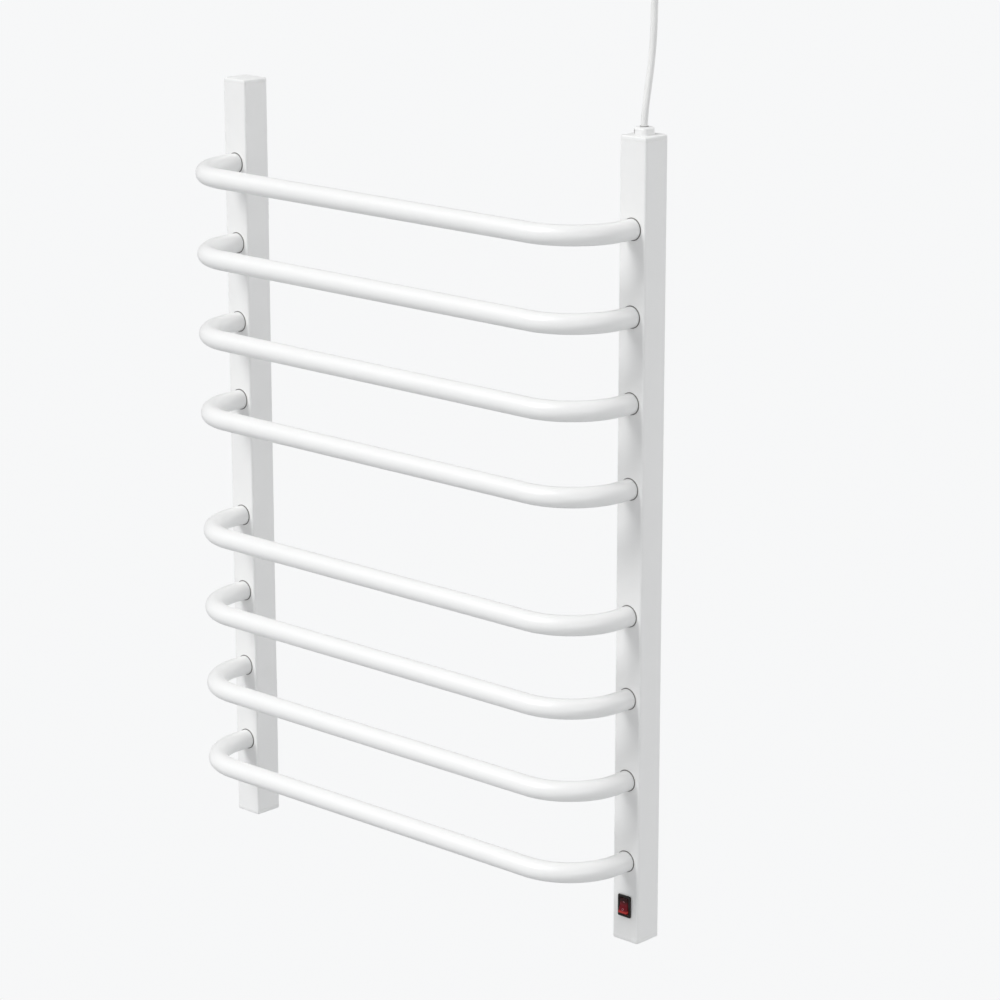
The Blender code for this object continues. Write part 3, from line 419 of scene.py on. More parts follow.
def multiply(tree, first, second):
    made = tree.nodes.new("ShaderNodeMath")
    made.operation = "MULTIPLY"
    for socket, given in zip(made.inputs, (first, second)):
        if isinstance(given, float):
            socket.default_value = given
        else:
            tree.links.new(given, socket)
    return made.outputs["Value"]


def mix_colour(tree, share, first, second):
    made = tree.nodes.new("ShaderNodeMix")
    made.data_type = "RGBA"
    colour_inputs = [s for s in made.inputs if s.type == "RGBA"]
    for socket, given in ((made.inputs[0], share), (colour_inputs[0], first), (colour_inputs[1], second)):
        if isinstance(given, (float, tuple)):
            socket.default_value = given
        else:
            tree.links.new(given, socket)
    return next(s for s in made.outputs if s.type == "RGBA")


def bump(tree, height, distance, strength=1.0):
    made = new_node(tree, "ShaderNodeBump", Strength=strength)
    tree.links.new(height, made.inputs["Height"])
    if isinstance(distance, float):
        made.inputs["Distance"].default_value = distance
    else:
        tree.links.new(distance, made.inputs["Distance"])
    return made.outputs["Normal"]


def powder_coat_group():
    """Orange-peel ripple of about a millimetre, faint clouds of shade, and dust on faces that look up."""
    tree, given, out = new_group(
        "Powder Coat",
        {
            "Vector": None,
            "Color": (0.8, 0.8, 0.8, 1.0),
            "Shade": (0.7, 0.7, 0.7, 1.0),
            "Dust": (0.6, 0.58, 0.55, 1.0),
            "Peel Scale": 620.0,
            "Peel Height": 0.00002,
            "Rough Low": 0.28,
            "Rough High": 0.33,
        },
        SURFACE_OUTPUTS,
    )
    clouds = remap(tree, noise(tree, given["Vector"], 5.0, 1.0), 0.3, 0.75)
    tinted = mix_colour(tree, multiply(tree, clouds, 0.08), given["Color"], given["Shade"])
    facing = tree.nodes.new("ShaderNodeSeparateXYZ")
    tree.links.new(tree.nodes.new("ShaderNodeNewGeometry").outputs["Normal"], facing.inputs["Vector"])
    specks = noise(tree, given["Vector"], 160.0, 5.0, 0.7)
    settled = multiply(tree, remap(tree, facing.outputs["Z"], 0.55, 1.0), specks)
    dusted = mix_colour(tree, multiply(tree, settled, 0.06), tinted, given["Dust"])
    tree.links.new(dusted, out["Color"])
    smears = noise(tree, given["Vector"], 12.0, 2.0)
    tree.links.new(remap(tree, smears, 0.3, 0.7, given["Rough Low"], given["Rough High"]), out["Roughness"])
    peel = noise(tree, given["Vector"], given["Peel Scale"], 1.5, 0.45)
    tree.links.new(bump(tree, peel, given["Peel Height"]), out["Normal"])
    return tree


def moulded_group():
    """Spark-eroded grain of small cells over slow shading, with a sheen that comes and goes."""
    tree, given, out = new_group(
        "Moulded Grain",
        {
            "Vector": None,
            "Color": (0.8, 0.8, 0.8, 1.0),
            "Shade": (0.7, 0.7, 0.7, 1.0),
            "Grain Scale": 1500.0,
            "Grain Height": 0.00002,
            "Rough Low": 0.36,
            "Rough High": 0.5,
        },
        SURFACE_OUTPUTS,
    )
    slow = remap(tree, noise(tree, given["Vector"], 22.0, 3.0), 0.35, 0.7)
    tree.links.new(mix_colour(tree, multiply(tree, slow, 0.5), given["Color"], given["Shade"]), out["Color"])
    worn = noise(tree, given["Vector"], 90.0, 4.0)
    tree.links.new(remap(tree, worn, 0.3, 0.7, given["Rough Low"], given["Rough High"]), out["Roughness"])
    cells = new_node(tree, "ShaderNodeTexVoronoi")
    tree.links.new(given["Vector"], cells.inputs["Vector"])
    tree.links.new(given["Grain Scale"], cells.inputs["Scale"])
    tree.links.new(bump(tree, cells.outputs["Distance"], given["Grain Height"]), out["Normal"])
    return tree


def plated_group():
    """Plated metal: fine drawn lines along X, cloudy tarnish and small changes of polish."""
    tree, given, out = new_group(
        "Plated Metal",
        {
            "Vector": None,
            "Color": (0.6, 0.6, 0.6, 1.0),
            "Tarnish": (0.5, 0.47, 0.4, 1.0),
            "Line Height": 0.00002,
            "Rough Low": 0.22,
            "Rough High": 0.42,
        },
        SURFACE_OUTPUTS,
    )
    stretched = new_node(tree, "ShaderNodeMapping", Scale=(60.0, 2200.0, 2200.0))
    tree.links.new(given["Vector"], stretched.inputs["Vector"])
    lines = noise(tree, stretched.outputs["Vector"], 1.0, 3.0, 0.6)
    clouds = remap(tree, noise(tree, given["Vector"], 120.0, 4.0, 0.6), 0.4, 0.75)
    tarnished = mix_colour(tree, multiply(tree, clouds, 0.55), given["Color"], given["Tarnish"])
    tree.links.new(tarnished, out["Color"])
    tree.links.new(remap(tree, clouds, 0.0, 1.0, given["Rough Low"], given["Rough High"]), out["Roughness"])
    tree.links.new(bump(tree, lines, given["Line Height"]), out["Normal"])
    return tree


def texture_group(name):
    makers = {"Powder Coat": powder_coat_group, "Moulded Grain": moulded_group, "Plated Metal": plated_group}
    return bpy.data.node_groups.get(name) or makers[name]()


# --------------------------------------------------------------------------- finishes


def darker(tint, share):
    return tuple(share * channel for channel in tint)


def grain(scale, low, high):
    return {"Grain Scale": scale, "Rough Low": low, "Rough High": high}


def finish(name, group, tint, second, values=None, shader_values=None):
    """A material: the texture group's colour, roughness and normal feed one Principled shader."""
    found = bpy.data.materials.get(name)
    if found:
        return found
    made = bpy.data.materials.new(name)
    made.use_nodes = True
    tree = made.node_tree
    shader = tree.nodes["Principled BSDF"]
    skin = tree.nodes.new("ShaderNodeGroup")
    skin.node_tree = texture_group(group)
    skin.inputs["Color"].default_value = (*tint, 1.0)
    skin.inputs["Tarnish" if group == "Plated Metal" else "Shade"].default_value = (*second, 1.0)
    for label, value in (values or {}).items():
        skin.inputs[label].default_value = value
    coordinates = tree.nodes.new("ShaderNodeTexCoord")
    tree.links.new(coordinates.outputs["Object"], skin.inputs["Vector"])
    tree.links.new(skin.outputs["Color"], shader.inputs["Base Color"])
    tree.links.new(skin.outputs["Roughness"], shader.inputs["Roughness"])
    tree.links.new(skin.outputs["Normal"], shader.inputs["Normal"])
    for label, value in (shader_values or {}).items():
        shader.inputs[label].default_value = value
    return made


# For each slot: its colour setting, material, texture group, the share that darkens its second colour,
# and the values of the group and of the shader
FINISHES = {
    "white_paint": ("paint", "white_powder_coat", "Powder Coat", 0.93, {}, {"Coat Weight": 0.15}),
    "white_plastic": ("plastic", "white_moulding", "Moulded Grain", 0.94, {}, {}),
    "white_cord": ("sheath", "lead_sheath", "Moulded Grain", 0.9, grain(900.0, 0.4, 0.55), {}),
    "grey_rubber": ("rubber", "seal_rubber", "Moulded Grain", 0.6, grain(1100.0, 0.6, 0.8), {}),
    "black_plastic": (
        "black",
        "bezel_moulding",
        "Moulded Grain",
        0.6,
        grain(1800.0, 0.34, 0.48),
        {"Specular IOR Level": 0.3},
    ),
    "nickel": (
        "nickel",
        "nickel_plate",
        "Plated Metal",
        0.85,
        {"Rough Low": 0.16, "Rough High": 0.3, "Line Height": 0.00001},
        {"Metallic": 1.0},
    ),
}


def finish_of(slot):
    """The finish that a slot of the record gives its pieces."""
    if slot == "red_rocker":
        return lit_rocker()
    if slot == "zinc_steel":
        return zinc()
    setting, name, group, share, values, shader_values = FINISHES[slot]
    tint = getattr(bpy.context.scene.rack_colours, setting)
    return finish(name, group, tint, darker(tint, share), values, shader_values)


def zinc():
    tint = bpy.context.scene.rack_colours.zinc
    return finish("zinc_plate", "Plated Metal", tint, (0.52, 0.50, 0.42), None, {"Metallic": 1.0})


def brass():
    return finish("brass", "Plated Metal", (0.74, 0.58, 0.28), (0.5, 0.36, 0.16), None, {"Metallic": 1.0})


def wire_coat(name, tint):
    return finish(name, "Moulded Grain", tint, darker(tint, 0.75), grain(700.0, 0.35, 0.5))


def lit_rocker():
    """Red see-through plastic: the lamp behind it glows through in a band near its lower end. That band is
    partly the lamp's glow and partly a painted highlight where the tilted lower half catches light; the top
    is darkened as painted shade.
    """
    colours = bpy.context.scene.rack_colours
    values = {"Grain Scale": 400.0, "Grain Height": 0.00001, "Rough Low": 0.12, "Rough High": 0.22}
    shader_values = {"Coat Weight": 0.05, "Specular IOR Level": 0.2, "Emission Strength": 0.42}
    shade = darker(colours.rocker, 0.7)
    made = finish("rocker_red", "Moulded Grain", colours.rocker, shade, values, shader_values)
    tree = made.node_tree
    coordinates = next(n for n in tree.nodes if n.type == "TEX_COORD")
    height = tree.nodes.new("ShaderNodeSeparateXYZ")
    tree.links.new(coordinates.outputs["Object"], height.inputs["Vector"])
    # Band near the lower end: emission that is partly the lamp's glow, partly a painted highlight on the
    # tilted lower half
    rising = remap(tree, height.outputs["Z"], PIVOT.z - 0.0064, PIVOT.z - 0.0054)
    falling = remap(tree, height.outputs["Z"], PIVOT.z - 0.0036, PIVOT.z - 0.0052)
    speckle = remap(tree, noise(tree, coordinates.outputs["Object"], 900.0, 2.0), 0.2, 0.8, 0.7, 1.0)
    glow = multiply(tree, multiply(tree, rising, falling), speckle)
    lit = mix_colour(tree, glow, (*darker(colours.glow, 0.02), 1.0), (*colours.glow, 1.0))
    skin = next(n for n in tree.nodes if n.type == "GROUP")
    # Painted shade: the top of the rocker, pressed into the bezel, is darkened in its base colour
    unlit = remap(tree, height.outputs["Z"], PIVOT.z + 0.0010, PIVOT.z + 0.0050)
    tinted = mix_colour(tree, unlit, skin.outputs["Color"], (*darker(colours.rocker, 0.12), 1.0))
    tree.links.new(tinted, tree.nodes["Principled BSDF"].inputs["Base Color"])
    tree.links.new(lit, tree.nodes["Principled BSDF"].inputs["Emission Color"])
    return made


# --------------------------------------------------------------------------- pieces


class RackOperator:
    """What the operators share: they work in object mode and can be undone."""

    bl_options = {"REGISTER", "UNDO"}

    @classmethod
    def poll(cls, context):
        return context.mode == "OBJECT"


def keyhole(height):
    """Outline of the slot's round top and the round entry under it, as two arcs that meet."""
    slot, entry, drop = 0.0027, 0.0054, 0.011
    meet = math.acos(slot / entry)
    top = np.linspace(0.0, math.pi, 13)
    low = np.linspace(math.pi - meet, 2 * math.pi + meet, 33)
    arcs = [
        np.stack([slot * np.cos(top), height + slot * np.sin(top)], axis=-1),
        np.stack([entry * np.cos(low), height - drop + entry * np.sin(low)], axis=-1),
    ]
    return np.concatenate(arcs)


class RACK_OT_columns(RackOperator, bpy.types.Operator):
    """Builds both upright columns: square tubes with round corners, open to the seals, brackets and switch"""

    bl_idname = "rack.columns"
    bl_label = "Columns"

    def execute(self, context):
        shape = context.scene.rack_shape
        half, corner = COLUMN_SIZE / 2, shape.column_corner
        low, high = COLUMN_LOW.z, COLUMN_HIGH.z
        inner, inner_corner = half - COLUMN_WALL, corner - COLUMN_WALL
        lip = 0.0002
        rows = [
            (half - lip, half - lip, corner - lip, low),
            (half, half, corner, low + lip),
            (half, half, corner, high - lip),
            (half - lip, half - lip, corner - lip, high),
            (inner, inner, inner_corner, high),
            (inner, inner, inner_corner, low),
        ]
        for hand, side in SIDES:
            x = side * COLUMN_X
            tube = shell(stack(rows), at(x, COLUMN_MID, 0.0), loop=True)
            piece = place_piece(f"painted_column_{hand}", [tube], "white_paint", [f"column_{hand}"])
            bore_radius = BAR_RADIUS + shape.seal_width + 0.0001
            bore = lathe([(bore_radius, level) for level in CUT_LEVELS])
            cuts = [shell(bore, at(x, COLUMN_LOW.y, z) @ OUTWARD) for z in BAR_HEIGHTS]
            for bracket in BRACKETS[::2]:
                slot = prism(keyhole(centre_of(bracket).z) * (1, 1), -0.006, 0.0)
                cuts.append(shell(slot, at(x, COLUMN_HIGH.y - 0.003, 0.0) @ OUTWARD))
            if side > 0:
                window = span_of("switch_housing")
                sides = (window.x / 2 - BEZEL_LAP, window.z / 2 - BEZEL_LAP, 0.0004)
                opening = stack([(*sides, level) for level in CUT_LEVELS])
                cuts.append(shell(opening, at(x, COLUMN_LOW.y, PIVOT.z) @ OUTWARD))
            carve(piece, cuts)
        return {"FINISHED"}


class RACK_OT_caps(RackOperator, bpy.types.Operator):
    """Builds the four end caps: a flange with a rolled rim, its face very slightly raised in the middle"""

    bl_idname = "rack.caps"
    bl_label = "End caps"

    def execute(self, context):
        shape = context.scene.rack_shape
        half, rim = COLUMN_SIZE / 2, shape.cap_rim
        flange = CAP_TOP - COLUMN_HIGH.z
        edge = rounded_rows(half, half, shape.column_corner, -flange, 0.0, rim, both=False)
        foot = [(half - 0.0002, half - 0.0002, shape.column_corner - 0.0002, -flange)]
        edge[0, 3] += 0.0002
        spigot_half = half - COLUMN_WALL - 0.0003
        spigot = [(spigot_half, spigot_half, 0.0008, level) for level in (-flange - 0.012, -flange)]
        crown = [(half - rim - 0.0040, half - rim - 0.0040, 0.0009, 0.00008)]
        crown.append((half - rim - 0.0080, half - rim - 0.0080, 0.0009, 0.00012))
        rings = stack([*spigot, *foot, *edge, *crown])
        for hand, side in SIDES:
            for end, turn in (("top", Matrix()), ("bottom", UPSIDE_DOWN)):
                node = f"cap_{end}_{hand}"
                low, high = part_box(node)
                height = high.z if end == "top" else low.z
                placed = shell(rings, at(side * COLUMN_X, COLUMN_MID, height) @ turn)
                place_piece(f"moulded_{node}", [placed], "white_plastic", [node])
        return {"FINISHED"}


class RACK_OT_bars(RackOperator, bpy.types.Operator):
    """Builds the bent bars: a circle carried along leg, bend, straight run, bend and leg"""

    bl_idname = "rack.bars"
    bl_label = "Heated bars"

    def execute(self, context):
        shape = context.scene.rack_shape
        bend = shape.bar_bend
        turn = np.linspace(0.0, -math.pi / 2, 25)
        x = COLUMN_X - bend + bend * np.cos(turn)
        y = BAR_FRONT + bend + bend * np.sin(turn)
        right = np.stack([np.r_[COLUMN_X, x], np.r_[BAR_END, y]], axis=-1)
        path = np.concatenate([right, right[::-1] * (-1, 1)])
        path = np.column_stack([path, np.zeros(len(path))])
        rings = sweep(path, circle(BAR_RADIUS, shape.bar_sides), (0.0, 0.0, 1.0))
        for name, height in zip(BAR_NAMES, BAR_HEIGHTS):
            place_piece(f"painted_{name}", [shell(rings, at(0.0, 0.0, height))], "white_paint", [name])
        return {"FINISHED"}


class RACK_OT_seals(RackOperator, bpy.types.Operator):
    """Builds the rubber ring round each end of each bar: a turned profile with a soft outer lip"""

    bl_idname = "rack.seals"
    bl_label = "Bar seals"

    def execute(self, context):
        inner = BAR_RADIUS + 0.00003
        outer = BAR_RADIUS + context.scene.rack_shape.seal_width
        corners = [(inner, -0.0025), (outer, -0.0025), (outer, 0.0006), (inner, 0.0006)]
        profile = rounded_outline(corners, (0.0001, 0.0001, 0.0005, 0.0003), 4)
        ring = lathe(profile)
        for hand, side in SIDES:
            for k, height in enumerate(BAR_HEIGHTS):
                placed = shell(ring, at(side * COLUMN_X, COLUMN_LOW.y, height) @ OUTWARD, loop=True)
                node = f"bar_seal_{hand}_{k + 1}"
                place_piece(f"rubber_{node}", [placed], "grey_rubber", [node])
        return {"FINISHED"}


class RACK_OT_brackets(RackOperator, bpy.types.Operator):
    """Builds the wall brackets: a plate with countersunk holes and a turned, headed stud"""

    bl_idname = "rack.brackets"
    bl_label = "Wall brackets"

    def execute(self, context):
        plate = stack(rounded_rows(0.011, 0.022, 0.003, 0.0, 0.0024, 0.0003))
        reach = -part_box(BRACKETS[0])[0].y
        head = reach - 0.0022
        stud = lathe(
            [(0.0024, 0.002), (0.0024, head), (0.0045, head), (0.0048, head + 0.0003)]
            + [(0.0048, reach - 0.0007), (0.0046, reach - 0.0003), (0.0041, reach), (0.0005, reach)],
            32,
        )
        sink = lathe([(0.0023, -0.001), (0.0023, 0.0005), (0.0044, 0.0026), (0.0048, 0.004)], 32)
        for node in BRACKETS:
            middle = centre_of(node)
            spot = at(middle.x, 0.0, middle.z)
            piece = place_piece(f"plated_{node}", [shell(plate, spot @ OUTWARD)], "zinc_steel", [node])
            carve(piece, [shell(sink, spot @ at(0.0, 0.0, z) @ OUTWARD) for z in (-0.015, 0.015)])
            place_piece(f"stud_{node}", [shell(stud, spot @ OUTWARD)], "zinc_steel")
        return {"FINISHED"}


class RACK_OT_switch(RackOperator, bpy.types.Operator):
    """Builds the rocker switch: bezel and box in one skin, the V-shaped rocker and its marks"""

    bl_idname = "rack.switch"
    bl_label = "Rocker switch"

    def execute(self, context):
        low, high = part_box("switch_housing")
        half_width, half_height = (high.x - low.x) / 2, (high.z - low.z) / 2
        rim = context.scene.rack_shape.bezel_rim
        window, tall = 0.0052, 0.0082
        depth = high.y - low.y
        turn = np.linspace(0.0, math.pi / 2, 5)
        lip = 0.0004
        flare = [(lip * (1 - math.cos(a)), lip * math.sin(a)) for a in turn]
        mouth = [(window + out, tall + out, 0.0004, -lip + up) for out, up in flare]
        inside = [(window, tall, 0.0004, level) for level in (-depth + 0.0015, -0.004, -0.002)]
        face = rounded_rows(half_width, half_height, 0.0012, -0.0017, 0.0, rim)[::-1]
        body = [(0.0065, 0.0095, 0.0004, level) for level in (-0.0017, -depth)]
        skin = shell(stack([*inside, *mouth, *face, *body]), at(COLUMN_X, low.y, PIVOT.z) @ OUTWARD)
        place_piece("switch_bezel", [skin], "black_plastic", ["switch_housing"])

        tilt = math.radians(12.0)
        half, waist, skirt = 0.0070, 0.0020, -0.0015
        crest = waist + half * math.tan(tilt)
        ends = [(half, crest), (0.0077, 0.0012), (0.0076, skirt)]
        corners = [(0.0, waist), *[(-a, b) for a, b in ends], *ends[::-1]]
        radii = (0.0012, 0.0004, 0.0015, 0.0002, 0.0002, 0.0015, 0.0004)
        button = prism(rounded_outline(corners, radii), -0.0047, 0.0047, 0.0004)
        pose = at(*PIVOT) @ Matrix.Rotation(-tilt, 4, "X") @ PROFILE_UP
        blade = [(-0.0015, 0.0), (0.0015, 0.0), (0.0015, -0.0076), (-0.0015, -0.0076)]
        stem = prism(rounded_outline(blade, 0.0005), -0.0012, 0.0012)
        shells = [shell(button, pose), shell(stem, pose)]
        place_piece("rocker_button", shells, "red_rocker", ["switch_rocker"], "rocker")

        dash = stack([(0.00024, 0.0011, 0.0001, level) for level in (-0.0002, 0.00005)], 3, 0.00005)
        ring = lathe([(0.0007, -0.0002), (0.0011, -0.0002), (0.0011, 0.00005), (0.0007, 0.00005)], 32)
        marks = []
        for rings, side, loop in ((dash, 1, False), (ring, -1, True)):
            spot = at(side * 0.0036, waist + 0.0036 * math.tan(tilt), 0.0)
            turned = Matrix.Rotation(side * tilt, 4, "Z") @ Matrix.Rotation(-math.pi / 2, 4, "X")
            marks.append(shell(rings, pose @ spot @ turned, loop))
        # Partly painted highlight: the marks' pink tone copies a highlight spot on the rocker's upper half,
        # where the dash sits
        mark = wire_coat("mark_pink", (0.42, 0.16, 0.19))
        place_piece("rocker_marks", marks, "red_rocker", (), "rocker", mark)
        return {"FINISHED"}


class RACK_OT_gland(RackOperator, bpy.types.Operator):
    """Builds the lead's gland: a rounded block with a slit, its collar and a tapering stem"""

    bl_idname = "rack.gland"
    bl_label = "Gland"

    def execute(self, context):
        shape = context.scene.rack_shape
        height = GLAND_TOP - CAP_TOP
        half, corner, rim = 0.008, shape.gland_corner, shape.gland_rim
        block = stack(rounded_rows(half, half, corner, 0.0, height, rim, 6, both=False))
        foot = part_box("cord_gland")[0].z - CAP_TOP
        stem = lathe([(0.0036, foot), (0.0047, -0.0043), (0.0047, 0.001)], 32)
        spot = at(COLUMN_X, COLUMN_MID, CAP_TOP)
        shells = [shell(block, spot), shell(stem, spot)]
        piece = place_piece("gland_block", shells, "white_plastic", ["cord_gland"])
        slit = stack([(0.0008, 0.0022, 0.0002, level) for level in (0.0004, height - 0.0020)], 3, 0.00005)
        notch = at(-0.0047, -0.0077, 0.0) @ Matrix.Rotation(math.radians(160.0), 4, "Z")
        carve(piece, [shell(slit, spot @ notch)])
        bead = np.linspace(0.0, 2 * math.pi, 12, endpoint=False)
        thick = 0.00045
        ring = [0.0035 + thick * np.cos(bead), 0.0003 + thick * np.sin(bead)]
        collar = lathe(np.stack(ring, axis=-1), 40)
        top = at(COLUMN_X, COLUMN_MID, GLAND_TOP)
        grey = wire_coat("collar_grey", (0.30, 0.30, 0.295))
        place_piece("gland_collar", [shell(collar, top, loop=True)], "grey_rubber", look=grey)
        return {"FINISHED"}


# The lead's free run above the gland: at each height, how far back towards the wall it has leant
LEAD_ROUTE = np.array(
    (
        (0.000, 0.0000),
        (0.010, 0.0007),
        (0.020, 0.0022),
        (0.030, 0.0041),
        (0.040, 0.0060),
        (0.050, 0.0078),
        (0.060, 0.0093),
        (0.070, 0.0105),
        (0.080, 0.0113),
        (0.090, 0.0118),
        (0.100, 0.0121),
        (0.110, 0.0122),
        (0.120, 0.0122),
        (0.130, 0.0121),
        (0.140, 0.0120),
        (0.150, 0.0119),
        (0.160, 0.0118),
        (0.170, 0.0117),
        (0.180, 0.0116),
    )
)


def smooth_line(route, steps):
    """Catmull-Rom curve: cubics whose end slopes are half the step between the neighbouring points."""
    ends = np.concatenate([2 * route[:1] - route[1:2], route, 2 * route[-1:] - route[-2:-1]])
    before, start, end, after = (part[:, None] for part in (ends[:-3], ends[1:-2], ends[2:-1], ends[3:]))
    t = (np.arange(steps) / steps)[None, :, None]
    bend = 2 * before - 5 * start + 4 * end - after
    twist = 3 * start - before - 3 * end + after
    line = (2 * start + (end - before) * t + bend * t**2 + twist * t**3) / 2
    return np.concatenate([line.reshape(-1, route.shape[1]), route[-1:]])


def lead_path(lead, plug_top):
    """The lead's centre line: the free run, the coil and the last drop into the plug.

    In the coil a turn t is at angle 2 pi t, and its strand circles the middle of the bundle once in six
    turns, so that every turn lies beside the one before it.
    """
    start = Vector((COLUMN_X, COLUMN_MID, GLAND_TOP))
    rising, leaning = LEAD_ROUTE.T
    run = np.column_stack([np.full(len(LEAD_ROUTE), start.x), start.y + leaning, start.z + rising])
    entry = (COLUMN_X, COIL.y + lead.bundle * math.sin(lead.entry))
    rise = np.array([(*entry, COIL.z - 0.0245), (*entry, COIL.z - 0.0120)])
    run = smooth_line(np.concatenate([run, rise]), 3)
    turn = np.linspace(0.0, lead.turns, int(lead.turns * 48) + 1)
    around = lead.entry + turn * math.pi / 3
    radius = COIL_MEAN + lead.bundle * np.cos(around)
    angle = 2 * math.pi * turn
    sideways = COIL.y + lead.bundle * np.sin(around)
    coil = [COIL.x + radius * np.cos(angle), sideways, COIL.z + radius * np.sin(angle)]
    coil = np.stack(coil, axis=-1)
    drop = np.linspace(coil[-1, 2] - 0.006, plug_top - 0.004, 5)
    tail = np.column_stack([np.full(5, coil[-1, 0]), np.full(5, coil[-1, 1]), drop])
    return np.concatenate([run, coil, tail])


class RACK_OT_plug(RackOperator, bpy.types.Operator):
    """Builds the plug: rounded rectangles that widen from a ribbed sleeve to the face, and two pins"""

    bl_idname = "rack.plug"
    bl_label = "Plug"

    def execute(self, context):
        low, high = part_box("plug_body")
        middle = centre_of("plug_body")
        total, sleeve = high.z - low.z, 0.020
        down = np.linspace(0.0, sleeve, 41)
        ripple = 0.00028 * np.cos(down / sleeve * 2 * math.pi * 7)
        round_half = 0.0036 + (0.0052 - 0.0036) * down / sleeve + ripple
        rows = [(r, r, r - 0.0003, -d) for r, d in zip(round_half, down)]
        share = np.linspace(0.0, 1.0, 17)[1:]
        ease = share * share * (3 - 2 * share)
        wide, thick = (high.x - low.x) / 2, (high.y - low.y) / 2
        body = total - sleeve - 0.0012
        for s, e in zip(share, ease):
            half = 0.0052 + (wide - 0.0052) * min(1.0, e * 1.25)
            deep = 0.0052 + (thick - 0.0052) * min(1.0, e * 1.6)
            rows.append((half, deep, min(deep, half) - 0.0004 - 0.0022 * s, -sleeve - body * s))
        corner = rows[-1][2]
        for a in np.linspace(0.0, math.pi / 2, 5)[1:]:
            inset = 0.0012 * (1 - math.cos(a))
            rows.append((wide - inset, thick - inset, corner - inset, -sleeve - body - 0.0012 * math.sin(a)))
        spot = at(middle.x, middle.y, high.z)
        place_piece("plug_moulding", [shell(stack(rows), spot)], "white_plastic", ["plug_body"])
        for hand in ("left", "right"):
            node = f"plug_pin_{hand}"
            tip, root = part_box(node)
            axis = centre_of(node)
            pin = lathe(
                [(0.0004, tip.z), (0.0010, tip.z + 0.0001), (0.0016, tip.z + 0.0006)]
                + [(0.0019, tip.z + 0.0015), (0.0019, root.z)],
                24,
            )
            place_piece(f"{node}_metal", [shell(pin, at(axis.x, axis.y, 0.0))], "nickel", [node])
            cover = lathe([(0.0019, low.z - 0.0095), (0.0020, low.z - 0.0093), (0.0020, low.z + 0.001)], 24)
            placed = shell(cover, at(axis.x, axis.y, 0.0))
            place_piece(f"{node}_sleeve", [placed], "black_plastic")
        return {"FINISHED"}


class RACK_OT_lead(RackOperator, bpy.types.Operator):
    """Builds the mains lead as one round sheath along its whole line, and the band that ties its coil"""

    bl_idname = "rack.lead"
    bl_label = "Mains lead"

    def execute(self, context):
        lead = context.scene.rack_lead
        path = lead_path(lead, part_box("plug_body")[1].z)
        rings = sweep(path, circle(lead.diameter / 2, 16), (0.0, 1.0, 0.0))
        piece = place_piece("lead_sheath", [shell(rings)], "white_cord", ["mains_cord", "cord_coil"])
        tie = self.make_tie()
        on_it = [tie, "gland_block", "gland_collar", "plug_moulding"]
        on_it += [f"plug_pin_{hand}_{part}" for hand in ("left", "right") for part in ("metal", "sleeve")]
        return {"FINISHED"}

    def make_tie(self):
        """A flat strap carried round a rounded square about the bundle, with its small buckle in front."""
        middle = centre_of("cord_tie")
        out = Vector((middle.x - COIL.x, 0.0, middle.z - COIL.z)).normalized()
        along = Vector((-out.z, 0.0, out.x))
        reach = COIL_HALF + 0.00085
        section = stack([(reach, reach, 0.0045, 0.0)], 8)[0]
        path = np.array(middle) + section[:, :1] * np.array(out) + section[:, 1:2] * np.array((0.0, 1.0, 0.0))
        thin, wide = 0.00045, 0.002
        strap = rounded_outline([(-thin, -wide), (thin, -wide), (thin, wide), (-thin, wide)], 0.0003, 3)
        band = shell(sweep(path, strap, tuple(along), closed=True), loop=True)
        turn = Matrix((tuple(along), (0.0, -1.0, 0.0), tuple(out))).transposed().to_4x4()
        front = at(middle.x, middle.y - reach, middle.z) @ turn @ Matrix.Rotation(-math.pi / 2, 4, "X")
        buckle = stack(rounded_rows(0.0028, 0.0032, 0.0008, -0.0008, 0.0016, 0.0005))
        return place_piece("lead_tie", [band, shell(buckle, front)], "white_plastic", ["cord_tie"])


class RACK_OT_hook(RackOperator, bpy.types.Operator):
    """Builds the stick-on hook inside the coil: a rounded plate and a bent arm with round edges"""

    bl_idname = "rack.hook"
    bl_label = "Lead hook"

    def execute(self, context):
        low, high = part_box("cord_hook")
        middle = centre_of("cord_hook")
        thick, lip, tip = 0.0025, 0.003, 0.008
        arm_top = high.z - tip
        plate_top = arm_top - 0.0015
        half_height = (plate_top - low.z) / 2
        plate = stack(rounded_rows((high.x - low.x) / 2, half_height, 0.004, 0.0, thick, 0.0009))
        plate = shell(plate, at(middle.x, 0.0, plate_top - half_height) @ OUTWARD)
        front = -low.y
        corners = [
            (thick / 2, arm_top - 0.0044),
            (front, arm_top - 0.0044),
            (front, high.z),
            (front - lip, high.z),
            (front - lip, arm_top),
            (thick / 2, arm_top),
        ]
        radii = (0.0005, 0.0028, 0.0014, 0.0014, 0.0015, 0.0005)
        arm = prism(rounded_outline(corners, radii), -0.005, 0.005, 0.0009)
        placed = shell(arm, at(middle.x, 0.0, 0.0) @ PROFILE_OUT)
        place_piece("lead_hook", [plate, placed], "white_plastic", ["cord_hook"])
        return {"FINISHED"}


